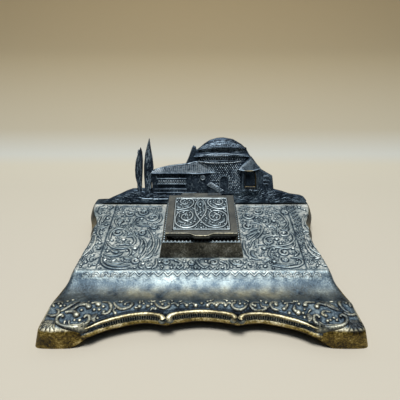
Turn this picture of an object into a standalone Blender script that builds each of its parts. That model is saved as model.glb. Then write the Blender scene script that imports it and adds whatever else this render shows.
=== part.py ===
"""Desk inkstand of cast brass, in metres, +Z up, front towards -Y.

A skirted base plate on four corner feet carries a pen trough, a square ink box with a hinged
lid over a glass ink pot, and a relief of buildings and trees that leans back at the rear.
The origin is at the middle of the footprint, on the surface that the feet stand on.
"""

import math

import bmesh
import bpy
from mathutils import Matrix, Vector
from mathutils.geometry import intersect_point_line

MM = 0.001

# Fits
SEAT_GAP = 0.3 * MM  # between two pieces that rest on each other
HOLE_CLEARANCE = 0.3 * MM  # round a shaft, on the radius
CUT_OVERRUN = 2.0 * MM  # how far a cutter runs past what it cuts
MERGE_DISTANCE = 0.001 * MM  # between points that are one point

# Base plate
HALF_WIDTH = 95.5 * MM  # of the skirt, at its shoulder
HALF_DEPTH = 71.0 * MM
PLATE_TOP = 20.0 * MM
PLATE_THICKNESS = 2.0 * MM
SKIRT_WALL = 2.0 * MM
SKIRT_BEVEL = 4.0 * MM  # how far the plate's top edge stands in from the shoulder
SHOULDER_HEIGHT = 12.6 * MM
FRONT_SET_BACK = 2.2 * MM  # of the front wall's hollow, behind its lower lip
FRONT_LIP = 0.4 * MM
FRONT_BEAD = 1.0 * MM
FRONT_LIP_HEIGHT = 8.3 * MM
FRONT_BEAD_HEIGHT = 15.0 * MM
FRONT_MOULDING_HALF_WIDTH = 66.0 * MM
FRONT_MOULDING_FADE = 8.0 * MM
OUTLINE_SPACING = 4.0 * MM  # between the points of the drawn outline
BEVEL_LOW_SHARE = 0.45  # of the bevel's run, just over the front's upper bead
BEVEL_HIGH_SHARE = 0.75  # of it, half way from there to the plate's top
INSET_KEPT_SHARE = 0.97  # of the wall; an inner point nearer to the outline than this is left out

# Pen trough and apron, along Y
APRON_DEPTH = 20.5 * MM  # from the front of the feet to the trough
TROUGH_FRONT_RUN = 9.5 * MM  # from the trough's front edge to its deepest line
TROUGH_REAR_RUN = 14.5 * MM
TROUGH_FRONT = APRON_DEPTH - HALF_DEPTH
TROUGH_MIDDLE = TROUGH_FRONT + TROUGH_FRONT_RUN
TROUGH_REAR = TROUGH_MIDDLE + TROUGH_REAR_RUN
TROUGH_DEPTH = 6.4 * MM
TROUGH_BOTTOM = PLATE_TOP - TROUGH_DEPTH
APRON_REAR_DROP = 3.6 * MM  # from the plate's top to the apron's rear edge
APRON_FRONT_DROP = 4.8 * MM
APRON_REAR_HEIGHT = PLATE_TOP - APRON_REAR_DROP
APRON_FRONT_HEIGHT = PLATE_TOP - APRON_FRONT_DROP

# Feet
FOOT_FLARE = 4.0 * MM
REAR_FOOT_FLARE = 3.2 * MM
FLARE_END_X_SHARE = 0.95  # of the half width, from where the sideways flare is full
FLARE_END_Y_SHARE = 0.93  # of the half depth, from where the backward flare is full
FOOT_LENGTH_X = 17.5 * MM  # of a foot's underside along the front, within the shoulder
FOOT_LENGTH_Y = 23.0 * MM  # along a side
FOOT_INNER_X = HALF_WIDTH - FOOT_LENGTH_X
FOOT_INNER_Y = HALF_DEPTH - FOOT_LENGTH_Y
FOOT_SLOPE = 11.0 * MM  # run of the slanted end of a foot
FRONT_ARCH_HEIGHT = 7.0 * MM
SIDE_ARCH_HEIGHT = 6.2 * MM
FRONT_TOE_THICKNESS = 4.0 * MM  # of the solid toe, at the foot's inner end
REAR_TOE_THICKNESS = 9.0 * MM

# Cast ornament on the plate and the apron
ORNAMENT_HEIGHT = 0.5 * MM
ORNAMENT_SINK = 0.6 * MM  # how far it starts below the surface that carries it
ORNAMENT_SPACING = 3.4 * MM  # between the points of a stem
ORNAMENT_MARGIN = 2.0 * MM  # from the ornament to what stands beside it
STEM_HALF_WIDTH = 0.9 * MM
LEAF_HALF_WIDTH = 1.4 * MM
BERRY_RADIUS = 1.9 * MM
SCROLL_RADIUS = 3.6 * MM
SCROLL_TURNS = 1.15
SCROLL_STEPS = 10
SCROLL_CURL_SHARE = 0.58  # of its radius, which a scroll loses on its way in
SCROLL_LINE_SHARE = 0.25  # of its radius, half the width of its line
STRIP_SCROLL_SHARE = 0.27  # of the depth of the strip before the ink box, a scroll's radius
CREST_SHARE = 0.45  # of a stem's half width, to the edge of its flat crest
STEM_END_SHARE = 0.5  # of a stem's half width, at its ends
TONGUE_PITCH = 6.3 * MM
TONGUE_LENGTH = 3.6 * MM
TONGUE_ROOT_HALF_WIDTH = 2.6 * MM
TONGUE_TIP_HALF_WIDTH = 0.5 * MM
TONGUE_SPAN_SHARE = 0.80  # of the half width, along which the tongues stand
FAN_INSET_X = 11.0 * MM  # from the plate's half width and half depth to the foot of a fan
FAN_INSET_Y = 9.2 * MM
FAN_LENGTH = 6.4 * MM
FAN_ANGLES = (20.0, 42.0, 64.0, 86.0)  # degrees from sideways towards the front
FAN_START_SHARE = 0.35  # of its length, how far from the foot a fan's leaf starts

# Ink box
BOX_FRONT = -11.3 * MM
BOX_REAR = 39.0 * MM
BOX_HALF_WIDTH = 26.3 * MM
BOX_HEIGHT = 13.0 * MM  # of the rim over the plate
BOX_RIM_HEIGHT = PLATE_TOP + BOX_HEIGHT
BOX_SIDE_FLARE = 2.7 * MM
BOX_FRONT_FLARE = 1.5 * MM
BOX_WALL = 1.8 * MM
CUP_WALL = 1.4 * MM
CUP_BOTTOM = 4.0 * MM
CUP_FLOOR = 1.8 * MM
CUP_CORNER = 6.0 * MM
BOX_SCREW_INSET_X = 2.6 * MM  # from the foot of the box's outer face to a screw
BOX_SCREW_INSET_Y = 2.1 * MM
BOX_SCREW_DEPTH = 4.0 * MM

# Glass ink pot
POT_CLEARANCE = 0.5 * MM
WELL_RADIUS = 15.5 * MM
WELL_FLOOR = 5.0 * MM
WELL_ROUNDING = 5.0 * MM

# Lid, its panel and its hinge
LID_SIDE_SET_BACK = 1.7 * MM  # from the ink box's rim
LID_FRONT_SET_BACK = 0.1 * MM
LID_RISE = 6.3 * MM  # of the lid's top over the ink box's rim
LID_HALF_WIDTH = BOX_HALF_WIDTH - LID_SIDE_SET_BACK
LID_FRONT = BOX_FRONT + LID_FRONT_SET_BACK
LID_TOP = BOX_RIM_HEIGHT + LID_RISE
LID_THICKNESS = 1.5 * MM
LID_REAR_CLEARANCE = 0.5 * MM
THUMB_LIP_REACH = 2.7 * MM
THUMB_LIP_HALF_WIDTH = 8.0 * MM
THUMB_LIP_FLAT_HALF_WIDTH = 4.4 * MM
PANEL_SIDE_MARGIN = 4.9 * MM
PANEL_HALF_WIDTH = LID_HALF_WIDTH - PANEL_SIDE_MARGIN
PANEL_FRONT_MARGIN = 4.9 * MM
PANEL_REAR_MARGIN = 4.1 * MM
PANEL_RECESS = 0.8 * MM
PANEL_THICKNESS = 0.9 * MM
BARREL_RADIUS = 1.6 * MM
BARREL_CLEARANCE = 0.4 * MM  # from the barrel to the ink box's rear wall
PIN_RADIUS = 0.7 * MM
PIN_OVERHANG = 0.8 * MM
HINGE_HALF_LENGTH = 15.0 * MM
LID_KNUCKLE_HALF_LENGTH = 5.0 * MM
KNUCKLE_GAP = 0.3 * MM
LEAF_THICKNESS = 1.0 * MM
LEAF_DROP = 8.4 * MM  # from the ink box's rim to the bottom of the leaf
LEAF_BOTTOM = BOX_RIM_HEIGHT - LEAF_DROP
LEAF_SCREW_X = 10.0 * MM
LEAF_SCREW_DROP = 4.2 * MM  # from the ink box's rim
LEAF_SCREW_HEIGHT = BOX_RIM_HEIGHT - LEAF_SCREW_DROP

# Backdrop relief
BACKDROP_LEAN = math.radians(12.0)
BACKDROP_SET_BACK = 15.0 * MM  # from the rear of the skirt to the foot of the relief's face
BACKDROP_FRONT_Y = HALF_DEPTH - BACKDROP_SET_BACK
BACKDROP_RISE = 1.7 * MM  # of the foot of the relief's face over the plate
BACKDROP_BOTTOM = PLATE_TOP + BACKDROP_RISE
BACKDROP_HALF_WIDTH = 87.6 * MM
BACKDROP_HEIGHT = 54.3 * MM
BACKDROP_THICKNESS = 2.4 * MM
FORM_SINK = 1.2 * MM  # how deep a raised form starts inside the slab
FORM_OVERLAP = 0.6 * MM  # how far a roof starts below the top of its wall
GROUND_RELIEF = 0.9 * MM
WALL_RELIEF = 1.6 * MM
ROOF_RELIEF = 2.6 * MM
ROTUNDA_RELIEF = 3.4 * MM
PAVILION_RELIEF = 4.2 * MM
TREE_RELIEF = 1.5 * MM
TREE_DEPTH_SHARE = 0.9  # of the slab's thickness, how far back a tree starts
TREE_FOOT_SHARE = 0.2  # of the half wave that shapes a tree, left out at its foot
TREE_FULLNESS = 0.8  # power of that wave; less is fuller
DRUM_FULLNESS = 0.6  # power of the half wave that shapes a swelling wall
FLANGE_END_INSET = 19.6 * MM  # from the end of the relief to the end of its flange
FLANGE_FRONT_SHARE = 0.5  # of the slab's thickness, where the flange starts behind its face
FLANGE_DEPTH = 6.0 * MM  # behind the relief's face
FLANGE_THICKNESS = 3.0 * MM
FLANGE_HALF_WIDTH = BACKDROP_HALF_WIDTH - FLANGE_END_INSET
POST_SET_BACK = 3.2 * MM  # behind the relief's face
POST_END_INSET = 10.0 * MM  # from the end of the flange
POST_RADIUS = 1.2 * MM
POST_OVERRUN = 1.0 * MM  # how far a post runs past its nut

# Screws, washers and nuts
SMALL_SHAFT_RADIUS = 0.9 * MM
SMALL_HEAD_RADIUS = 1.8 * MM
SMALL_HEAD_HEIGHT = 1.2 * MM
WASHER_RADIUS = 2.8 * MM
WASHER_THICKNESS = 0.6 * MM
NUT_RADIUS = 2.6 * MM
NUT_HEIGHT = 1.8 * MM
ROUND_STEPS = 24
SMALL_ROUND_STEPS = 16

# Right half of the skirt's outline at its shoulder, from the middle of the front to the middle
# of the rear: share of the half width, share of the half depth, and whether it is a corner.
OUTLINE_SHARES = (
    (0.000, -0.801, False),
    (0.136, -0.821, False),
    (0.230, -0.852, True),
    (0.346, -0.827, False),
    (0.450, -0.845, False),
    (0.565, -0.889, False),
    (0.639, -0.930, False),
    (0.702, -0.975, False),
    (0.817, -0.998, False),
    (0.935, -1.000, False),
    (0.988, -0.985, False),
    (1.000, -0.935, False),
    (0.995, -0.850, False),
    (0.990, -0.775, False),
    (0.980, -0.662, False),
    (0.955, -0.549, False),
    (0.925, -0.394, False),
    (0.907, -0.197, False),
    (0.901, -0.113, True),
    (0.880, 0.056, False),
    (0.878, 0.197, False),
    (0.897, 0.324, True),
    (0.886, 0.401, False),
    (0.903, 0.486, False),
    (0.931, 0.570, False),
    (0.955, 0.676, False),
    (0.963, 0.790, False),
    (0.957, 0.880, False),
    (0.930, 0.945, False),
    (0.830, 0.962, False),
    (0.628, 0.960, False),
    (0.314, 0.958, False),
    (0.000, 0.958, False),
)

# Scrolls, berries, stems and leaves of the two fields beside the ink box, as shares of the way
# out from the box and of the way to the rear.
FIELD_REACH_SHARE = 0.86  # of the half width, to the outer edge of a field
LEFT_SCROLL_SHARES = (
    # out, back, start as a share of a turn
    (0.155, 0.776, 0.53),
    (0.320, 0.880, 0.47),
    (0.540, 0.840, 0.47),
    (0.660, 0.517, 0.42),
    (0.270, 0.514, 0.17),
    (0.287, 0.105, 0.25),
)
LEFT_BERRY_SHARES = ((0.543, 0.404), (0.340, 0.290), (0.325, 0.730), (0.743, 0.220))
LEFT_STEM_SHARES = (
    ((0.563, 0.590), (0.679, 0.600), (0.785, 0.545), (0.790, 0.455), (0.760, 0.410)),
    ((0.794, 0.368), (0.684, 0.294), (0.552, 0.273), (0.459, 0.286), (0.410, 0.250), (0.400, 0.204)),
    ((0.165, 0.560), (0.110, 0.478), (0.072, 0.356), (0.085, 0.263), (0.130, 0.190)),
    ((0.803, 0.153), (0.785, 0.085), (0.700, 0.030), (0.560, 0.015), (0.430, 0.020)),
    ((0.045, 0.850), (0.012, 0.776), (0.020, 0.709), (0.100, 0.668)),
    ((0.459, 0.690), (0.444, 0.750), (0.395, 0.785), (0.310, 0.792)),
    ((0.680, 0.827), (0.740, 0.782), (0.765, 0.718), (0.735, 0.654)),
    ((0.330, 0.440), (0.270, 0.390), (0.230, 0.330)),
)
LEFT_LEAF_SHARES = (
    ((0.352, 0.624), (0.244, 0.632), (0.161, 0.617)),
    ((0.740, 0.114), (0.650, 0.078), (0.510, 0.070), (0.400, 0.090)),
    ((0.980, 0.840), (0.960, 0.790), (0.990, 0.740)),
    ((0.930, 0.560), (0.950, 0.500), (0.930, 0.440)),
    ((0.930, 0.180), (0.960, 0.130), (0.990, 0.080)),
)
RIGHT_SCROLL_SHARES = (
    (0.106, 0.622, 0.33),
    (0.645, 0.509, 0.17),
    (0.573, 0.224, 0.28),
    (0.320, 0.890, 0.03),
    (0.120, 0.800, 0.97),
    (0.760, 0.880, 0.72),
)
RIGHT_BERRY_SHARES = ((0.539, 0.706), (0.285, 0.273), (0.510, 0.400), (0.740, 0.270))
RIGHT_STEM_SHARES = (
    ((0.790, 0.496), (0.790, 0.417), (0.722, 0.355), (0.628, 0.322), (0.501, 0.312), (0.390, 0.322)),
    ((0.520, 0.471), (0.446, 0.468), (0.350, 0.440), (0.320, 0.385)),
    ((0.654, 0.140), (0.756, 0.142), (0.798, 0.086), (0.713, 0.035), (0.539, 0.020), (0.344, 0.050)),
    ((0.242, 0.690), (0.327, 0.635), (0.331, 0.578), (0.246, 0.468), (0.127, 0.386), (0.068, 0.296)),
    ((0.382, 0.775), (0.465, 0.750), (0.460, 0.690), (0.403, 0.650)),
    ((0.624, 0.810), (0.701, 0.750), (0.735, 0.673), (0.667, 0.605)),
    ((0.940, 0.960), (0.925, 0.820), (0.945, 0.680)),
    ((0.945, 0.560), (0.925, 0.430), (0.950, 0.300), (0.985, 0.150)),
)
RIGHT_LEAF_SHARES = (
    ((0.234, 0.086), (0.318, 0.110), (0.403, 0.115)),
    ((0.070, 0.200), (0.090, 0.140), (0.060, 0.070)),
)
STRIP_SCROLL_SHARES = (
    # along the strip in front of the ink box, and start as a share of a turn
    (-0.82, 0.50),
    (-0.28, 0.25),
    (0.28, 0.53),
    (0.82, 0.42),
)

# Right half of the apron's stems: shares of the half width, and of the way from the trough's
# edge to the front of the feet.
APRON_STEM_SHARES = (
    ((0.170, 0.060), (0.230, 0.170), (0.300, 0.140), (0.340, 0.060)),
    ((0.400, 0.200), (0.450, 0.060), (0.520, 0.100), (0.540, 0.240)),
    ((0.590, 0.060), (0.640, 0.180), (0.620, 0.330), (0.560, 0.330)),
    ((0.720, 0.520), (0.700, 0.720), (0.740, 0.880), (0.830, 0.860)),
    ((0.760, 0.060), (0.820, 0.200), (0.880, 0.420)),
)

# The long scroll on the bevel of each side: how far along the half depth it runs, and its
# section, as shares of the bevel's run and of the way from the shoulder to the plate's top.
SIDE_SCROLL_SPAN_SHARES = (-0.12, 0.22)
SIDE_SCROLL_SECTION_SHARES = ((0.25, 0.24), (0.30, 0.54), (0.65, 0.81), (0.80, 0.62))

# The relief's outline above its bottom edge, left to right: share of the half width and share
# of the height. The trees are added to it.
SKYLINE_SHARES = (
    (-0.952, 0.000),
    (-0.895, 0.037),
    (-0.837, 0.087),
    (-0.768, 0.134),
    (-0.701, 0.175),
    (-0.624, 0.199),
    (-0.470, 0.190),
    (-0.470, 0.480),
    (-0.475, 0.500),
    (-0.290, 0.565),
    (-0.142, 0.619),
    (-0.119, 0.718),
    (-0.086, 0.853),
    (-0.076, 0.890),
    (-0.046, 0.853),
    (-0.041, 0.808),
    (0.005, 0.867),
    (0.076, 0.948),
    (0.148, 0.991),
    (0.224, 1.000),
    (0.292, 0.974),
    (0.365, 0.897),
    (0.441, 0.770),
    (0.489, 0.672),
    (0.557, 0.536),
    (0.596, 0.490),
    (0.668, 0.425),
    (0.680, 0.206),
    (0.757, 0.182),
    (0.834, 0.134),
    (0.929, 0.118),
    (0.968, 0.094),
    (1.000, 0.037),
    (0.993, 0.000),
)

# Forms that stand out from the slab, in the same shares.
HOUSE_SHARES = ((-0.455, 0.110), (0.090, 0.110), (0.090, 0.500), (-0.455, 0.500))
ROOF_SHARES = ((-0.465, 0.490), (0.100, 0.490), (-0.032, 0.605), (-0.140, 0.605), (-0.290, 0.550))
TERRACE_SHARES = ((-0.462, 0.095), (0.060, 0.095), (0.060, 0.140), (-0.462, 0.140))
GROUND_SHARES = (
    (-0.925, 0.010),
    (-0.835, 0.070),
    (-0.700, 0.155),
    (-0.480, 0.170),
    (-0.460, 0.090),
    (0.080, 0.100),
    (0.200, 0.180),
    (0.660, 0.185),
    (0.830, 0.115),
    (0.960, 0.070),
    (0.975, 0.010),
)
TREES_SHARES = (
    # foot x, foot height, tip x, tip height, half width
    (-0.590, 0.120, -0.549, 0.864, 0.044),
    (-0.480, 0.120, -0.468, 0.995, 0.043),
)
ROTUNDA_SPAN_SHARES = (0.004, 0.430)
ROTUNDA_HEIGHT_SHARES = (0.215, 0.780)
DOME_HEIGHT_SHARE = 0.210
PAVILION_SPAN_SHARES = (0.365, 0.522)
PAVILION_HEIGHT_SHARES = (0.215, 0.560)
PAVILION_EAVES_SHARE = 0.100  # half the eaves' width
PAVILION_ROOF_SHARE = 0.160  # height of its pointed roof


def clear_scene():
    for obj in list(bpy.data.objects):
        bpy.data.objects.remove(obj, do_unlink=True)


def new_collection(name):
    collection = bpy.data.collections.new(name)
    bpy.context.scene.collection.children.link(collection)
    return collection


clear_scene()
PARTS = new_collection("desk_inkstand")
CUTTERS = new_collection("cutters")


def metal(name, colour, roughness, metallic=1.0):
    """A Principled material of one colour."""
    made = bpy.data.materials.new(name)
    made.use_nodes = True
    shader = made.node_tree.nodes["Principled BSDF"]
    shader.inputs["Base Color"].default_value = (*colour, 1.0)
    shader.inputs["Roughness"].default_value = roughness
    shader.inputs["Metallic"].default_value = metallic
    return made


AGED_BRASS = metal("aged_brass", (0.42, 0.42, 0.38), 0.38)
DARK_BRASS = metal("dark_brass", (0.10, 0.085, 0.06), 0.5)
LID_BRASS = metal("lid_brass", (0.26, 0.24, 0.20), 0.42)
PANEL_BRASS = metal("panel_brass", (0.45, 0.46, 0.45), 0.36)
BLACKENED_BRASS = metal("blackened_brass", (0.05, 0.06, 0.075), 0.5)
FASTENER_BRASS = metal("fastener_brass", (0.45, 0.33, 0.14), 0.4)
BLACK_GLASS = metal("black_glass", (0.012, 0.012, 0.014), 0.08, 0.0)


def as_piece(obj, material):
    """Puts a finished object among the parts, with its material and smooth round faces."""
    obj.data.materials.clear()
    obj.data.materials.append(material)
    obj.data.shade_smooth()
    obj.data.set_sharp_from_angle(angle=math.radians(35.0))
    for collection in list(obj.users_collection):
        collection.objects.unlink(obj)
    PARTS.objects.link(obj)
    obj.hide_render = False
    obj.display_type = "TEXTURED"
    return obj


def as_copies(obj, material, places):
    """Puts a piece among the parts once for each name and place, all with one mesh."""
    for name, place in places.items():
        copy = bpy.data.objects.new(name, obj.data)
        copy.matrix_world = place
        as_piece(copy, material)
    bpy.data.objects.remove(obj, do_unlink=True)


def helper(name, mesh):
    """An object among the cutters, which no render shows."""
    obj = bpy.data.objects.new(name, mesh)
    CUTTERS.objects.link(obj)
    obj.hide_render = True
    obj.display_type = "WIRE"
    return obj


def mesh_from(name, build):
    """A mesh filled by build(bm), with its faces pointing out."""
    bm = bmesh.new()
    build(bm)
    bmesh.ops.recalc_face_normals(bm, faces=bm.faces)
    mesh = bpy.data.meshes.new(name)
    bm.to_mesh(mesh)
    bm.free()
    return mesh


def box(name, low, high):
    """A box between two opposite corners."""
    low, high = Vector(low), Vector(high)

    def build(bm):
        scale = Matrix.Diagonal((*(high - low), 1.0))
        bmesh.ops.create_cube(bm, size=1.0, matrix=Matrix.Translation((low + high) / 2) @ scale)

    return helper(name, mesh_from(name, build))


def cylinders(name, radius, spans, segments=SMALL_ROUND_STEPS):
    """Separate cylinders in one mesh, each from a start to an end point."""

    def build(bm):
        for start, end in spans:
            start, end = Vector(start), Vector(end)
            turn = (end - start).to_track_quat("Z", "Y").to_matrix().to_4x4()
            bmesh.ops.create_cone(
                bm,
                cap_ends=True,
                segments=segments,
                radius1=radius,
                radius2=radius,
                depth=(end - start).length,
                matrix=Matrix.Translation((start + end) / 2) @ turn,
            )

    return helper(name, mesh_from(name, build))


def turned(name, profile, steps=SMALL_ROUND_STEPS):
    """A turned shape about Z. profile is (radius, height) down its outer side."""

    def build(bm):
        made = [bm.verts.new((radius, 0.0, height)) for radius, height in profile]
        edges = [bm.edges.new(pair) for pair in zip(made, made[1:])]
        bmesh.ops.spin(
            bm,
            geom=[*made, *edges],
            axis=(0.0, 0.0, 1.0),
            cent=(0.0, 0.0, 0.0),
            angle=2.0 * math.pi,
            steps=steps,
            use_merge=True,
        )
        bmesh.ops.remove_doubles(bm, verts=bm.verts, dist=MERGE_DISTANCE)

    return helper(name, mesh_from(name, build))


def flat_outline(name, points, thickness):
    """A flat outline in XY, filled and thickened evenly to both sides of it."""
    curve = bpy.data.curves.new(name, "CURVE")
    curve.dimensions = "2D"
    curve.fill_mode = "BOTH"
    curve.extrude = thickness / 2
    spline = curve.splines.new("POLY")
    spline.points.add(len(points) - 1)
    for spot, (x, y) in zip(spline.points, points):
        spot.co = (x, y, 0.0, 1.0)
    spline.use_cyclic_u = True
    drawn = bpy.data.objects.new(name, curve)
    CUTTERS.objects.link(drawn)
    graph = bpy.context.evaluated_depsgraph_get()
    mesh = bpy.data.meshes.new_from_object(drawn.evaluated_get(graph))
    bpy.data.objects.remove(drawn, do_unlink=True)
    bm = bmesh.new()
    bm.from_mesh(mesh)
    bmesh.ops.remove_doubles(bm, verts=bm.verts, dist=MERGE_DISTANCE)
    bmesh.ops.recalc_face_normals(bm, faces=bm.faces)
    bm.to_mesh(mesh)
    bm.free()
    return helper(name, mesh)


def slab_along_x(name, points, half_length):
    """An outline of (y, z) points, drawn out along X."""
    slab = flat_outline(name, points, 2 * half_length)
    slab.data.transform(Matrix(((0, 0, 1, 0), (1, 0, 0, 0), (0, 1, 0, 0), (0, 0, 0, 1))))
    return slab


def slab_along_y(name, points, half_length):
    """An outline of (x, z) points, drawn out along Y."""
    slab = flat_outline(name, points, 2 * half_length)
    slab.data.transform(Matrix(((1, 0, 0, 0), (0, 0, -1, 0), (0, 1, 0, 0), (0, 0, 0, 1))))
    return slab


def lofted(name, *bodies):
    """Closed bodies, each through rings of equally many points, with a flat cap at each end."""

    def build(bm):
        for rings in bodies:
            rows = [[bm.verts.new(point) for point in ring] for ring in rings]
            for lower, upper in zip(rows, rows[1:]):
                for k in range(len(lower)):
                    bm.faces.new((lower[k - 1], lower[k], upper[k], upper[k - 1]))
            bm.faces.new(reversed(rows[0]))
            bm.faces.new(rows[-1])

    return helper(name, mesh_from(name, build))


def rounded_rectangle(left, right, front, rear, radius, steps=5):
    """Points round a rectangle with round corners, anticlockwise from above."""
    corners = ((right, rear, 0), (left, rear, 1), (left, front, 2), (right, front, 3))
    points = []
    for x, y, quarter in corners:
        middle = Vector((x - math.copysign(radius, x), y + (radius if y == front else -radius)))
        for step in range(steps + 1):
            angle = (quarter + step / steps) * math.pi / 2
            points.append(middle + radius * Vector((math.cos(angle), math.sin(angle))))
    return points


def combine(target, other, operation):
    """A Boolean modifier on target."""
    modifier = target.modifiers.new(f"{operation.lower()}_{other.name}", "BOOLEAN")
    modifier.operation = operation
    modifier.object = other
    modifier.solver = "EXACT"


def cut(target, *others):
    for other in others:
        combine(target, other, "DIFFERENCE")


def add(target, *others):
    for other in others:
        combine(target, other, "UNION")


def spline_points(knots, spacing):
    """Points along a Catmull-Rom curve through the knots, leaving out the last knot."""
    padded = [2 * knots[0] - knots[1], *knots, 2 * knots[-1] - knots[-2]]
    points = []
    for before, start, end, after in zip(padded, padded[1:], padded[2:], padded[3:]):
        steps = max(1, round((end - start).length / spacing))
        for t in (step / steps for step in range(steps)):
            points.append(
                start
                + (end - before) * t / 2
                + (2 * before - 5 * start + 4 * end - after) * t**2 / 2
                + (3 * start - before - 3 * end + after) * t**3 / 2
            )
    return points


def skirt_outline():
    """The skirt's outline at its shoulder, anticlockwise from the middle of the front."""
    right = [(Vector((x * HALF_WIDTH, y * HALF_DEPTH)), corner) for x, y, corner in OUTLINE_SHARES]
    left = [(Vector((-spot.x, spot.y)), corner) for spot, corner in reversed(right[1:-1])]
    loop = right + left
    corners = [k for k, (_, corner) in enumerate(loop) if corner]
    points = []
    for start, end in zip(corners, [*corners[1:], corners[0] + len(loop)]):
        knots = [loop[k % len(loop)][0] for k in range(start, end + 1)]
        points += spline_points(knots, OUTLINE_SPACING)
    return points


def outward_normals(points):
    """The outward direction at each point of an anticlockwise loop."""
    normals = []
    for k, _ in enumerate(points):
        along = points[(k + 1) % len(points)] - points[k - 1]
        normals.append(Vector((along.y, -along.x)).normalized())
    return normals


def ramp(value, start, end):
    """Smoothly from 0 at start to 1 at end."""
    t = min(1.0, max(0.0, (value - start) / (end - start)))
    return t * t * (3 - 2 * t)


def front_moulding_share(spot):
    """1 along the arched front, and 0 at the feet, the sides and the rear."""
    if spot.y > TROUGH_FRONT:
        return 0.0
    fade_end = FRONT_MOULDING_HALF_WIDTH + FRONT_MOULDING_FADE
    return 1.0 - ramp(abs(spot.x), FRONT_MOULDING_HALF_WIDTH, fade_end)


def foot_flare(spot, height):
    """How far the skirt spreads at a foot, below its shoulder."""
    below = max(0.0, 1.0 - height / SHOULDER_HEIGHT)
    beside = ramp(abs(spot.y), FOOT_INNER_Y - FOOT_SLOPE, FOOT_INNER_Y + FOOT_SLOPE)
    outside = ramp(abs(spot.x), FOOT_INNER_X, HALF_WIDTH * FLARE_END_X_SHARE)
    sideways = math.copysign(FOOT_FLARE * below * beside * outside, spot.x)
    behind = ramp(spot.y, FOOT_INNER_Y, HALF_DEPTH * FLARE_END_Y_SHARE)
    backwards = REAR_FOOT_FLARE * below * behind
    return Vector((sideways, backwards))


# The skirt's section as heights and how far out of the shoulder line it stands there, along
# the front and elsewhere.
OVER_BEAD_HEIGHT = FRONT_BEAD_HEIGHT + FRONT_BEAD
BEVEL_MIDDLE_HEIGHT = (OVER_BEAD_HEIGHT + PLATE_TOP) / 2
SKIRT_SECTION = (
    (0.0, -FRONT_LIP, -FRONT_LIP),
    (FRONT_ARCH_HEIGHT, 0.0, 0.0),
    (FRONT_LIP_HEIGHT, FRONT_LIP, 0.0),
    (FRONT_LIP_HEIGHT + 3 * FRONT_LIP, -FRONT_LIP, 0.0),
    (SHOULDER_HEIGHT - FRONT_BEAD, -FRONT_SET_BACK, 0.0),
    (FRONT_BEAD_HEIGHT - FRONT_BEAD, -FRONT_SET_BACK, -FRONT_BEAD / 2),
    (FRONT_BEAD_HEIGHT, FRONT_BEAD - FRONT_SET_BACK, -FRONT_BEAD),
    (OVER_BEAD_HEIGHT, -FRONT_SET_BACK, -SKIRT_BEVEL * BEVEL_LOW_SHARE),
    (BEVEL_MIDDLE_HEIGHT, -FRONT_SET_BACK, -SKIRT_BEVEL * BEVEL_HIGH_SHARE),
    (PLATE_TOP, -FRONT_SET_BACK, -SKIRT_BEVEL),
    (PLATE_TOP + CUT_OVERRUN, -FRONT_SET_BACK, -SKIRT_BEVEL),
)


def skirt_body():
    """The plate's outer shape as a full block, taller than the plate."""
    outline = skirt_outline()
    normals = outward_normals(outline)
    rings = []
    for height, at_front, elsewhere in SKIRT_SECTION:
        ring = []
        for spot, normal in zip(outline, normals):
            share = front_moulding_share(spot)
            out = share * at_front + (1 - share) * elsewhere
            place = spot + normal * out + foot_flare(spot, height)
            ring.append((place.x, place.y, height))
        rings.append(ring)
    return lofted("base_plate", rings)


def top_section(drop, name):
    """The plate, trough and apron seen from the side, lowered by drop, drawn across the width."""
    reach = HALF_DEPTH + 4 * CUT_OVERRUN
    points = [(reach, -2 * CUT_OVERRUN), (reach, PLATE_TOP - drop)]
    steps = 8
    for step in range(steps + 1):
        share = 1 - step / steps
        y = TROUGH_MIDDLE + (TROUGH_REAR - TROUGH_MIDDLE) * share
        points.append((y, TROUGH_BOTTOM + (PLATE_TOP - TROUGH_BOTTOM) * share**2 - drop))
    for step in range(1, steps + 1):
        share = step / steps
        y = TROUGH_MIDDLE + (TROUGH_FRONT - TROUGH_MIDDLE) * share
        rise = (APRON_REAR_HEIGHT - TROUGH_BOTTOM) * share**2
        points.append((y, TROUGH_BOTTOM + rise - drop))
    points.append((-HALF_DEPTH, APRON_FRONT_HEIGHT - drop))
    points.append((-reach, APRON_FRONT_HEIGHT - drop))
    points.append((-reach, -2 * CUT_OVERRUN))
    return slab_along_x(name, points, HALF_WIDTH + FOOT_FLARE + CUT_OVERRUN)


def distance_to_loop(spot, loop):
    """The distance from a point to the nearest side of a closed loop."""
    nearest = []
    for start, end in zip(loop, [*loop[1:], loop[0]]):
        _, share = intersect_point_line(spot, start, end)
        nearest.append((spot - start.lerp(end, min(1.0, max(0.0, share)))).length)
    return min(nearest)


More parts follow.
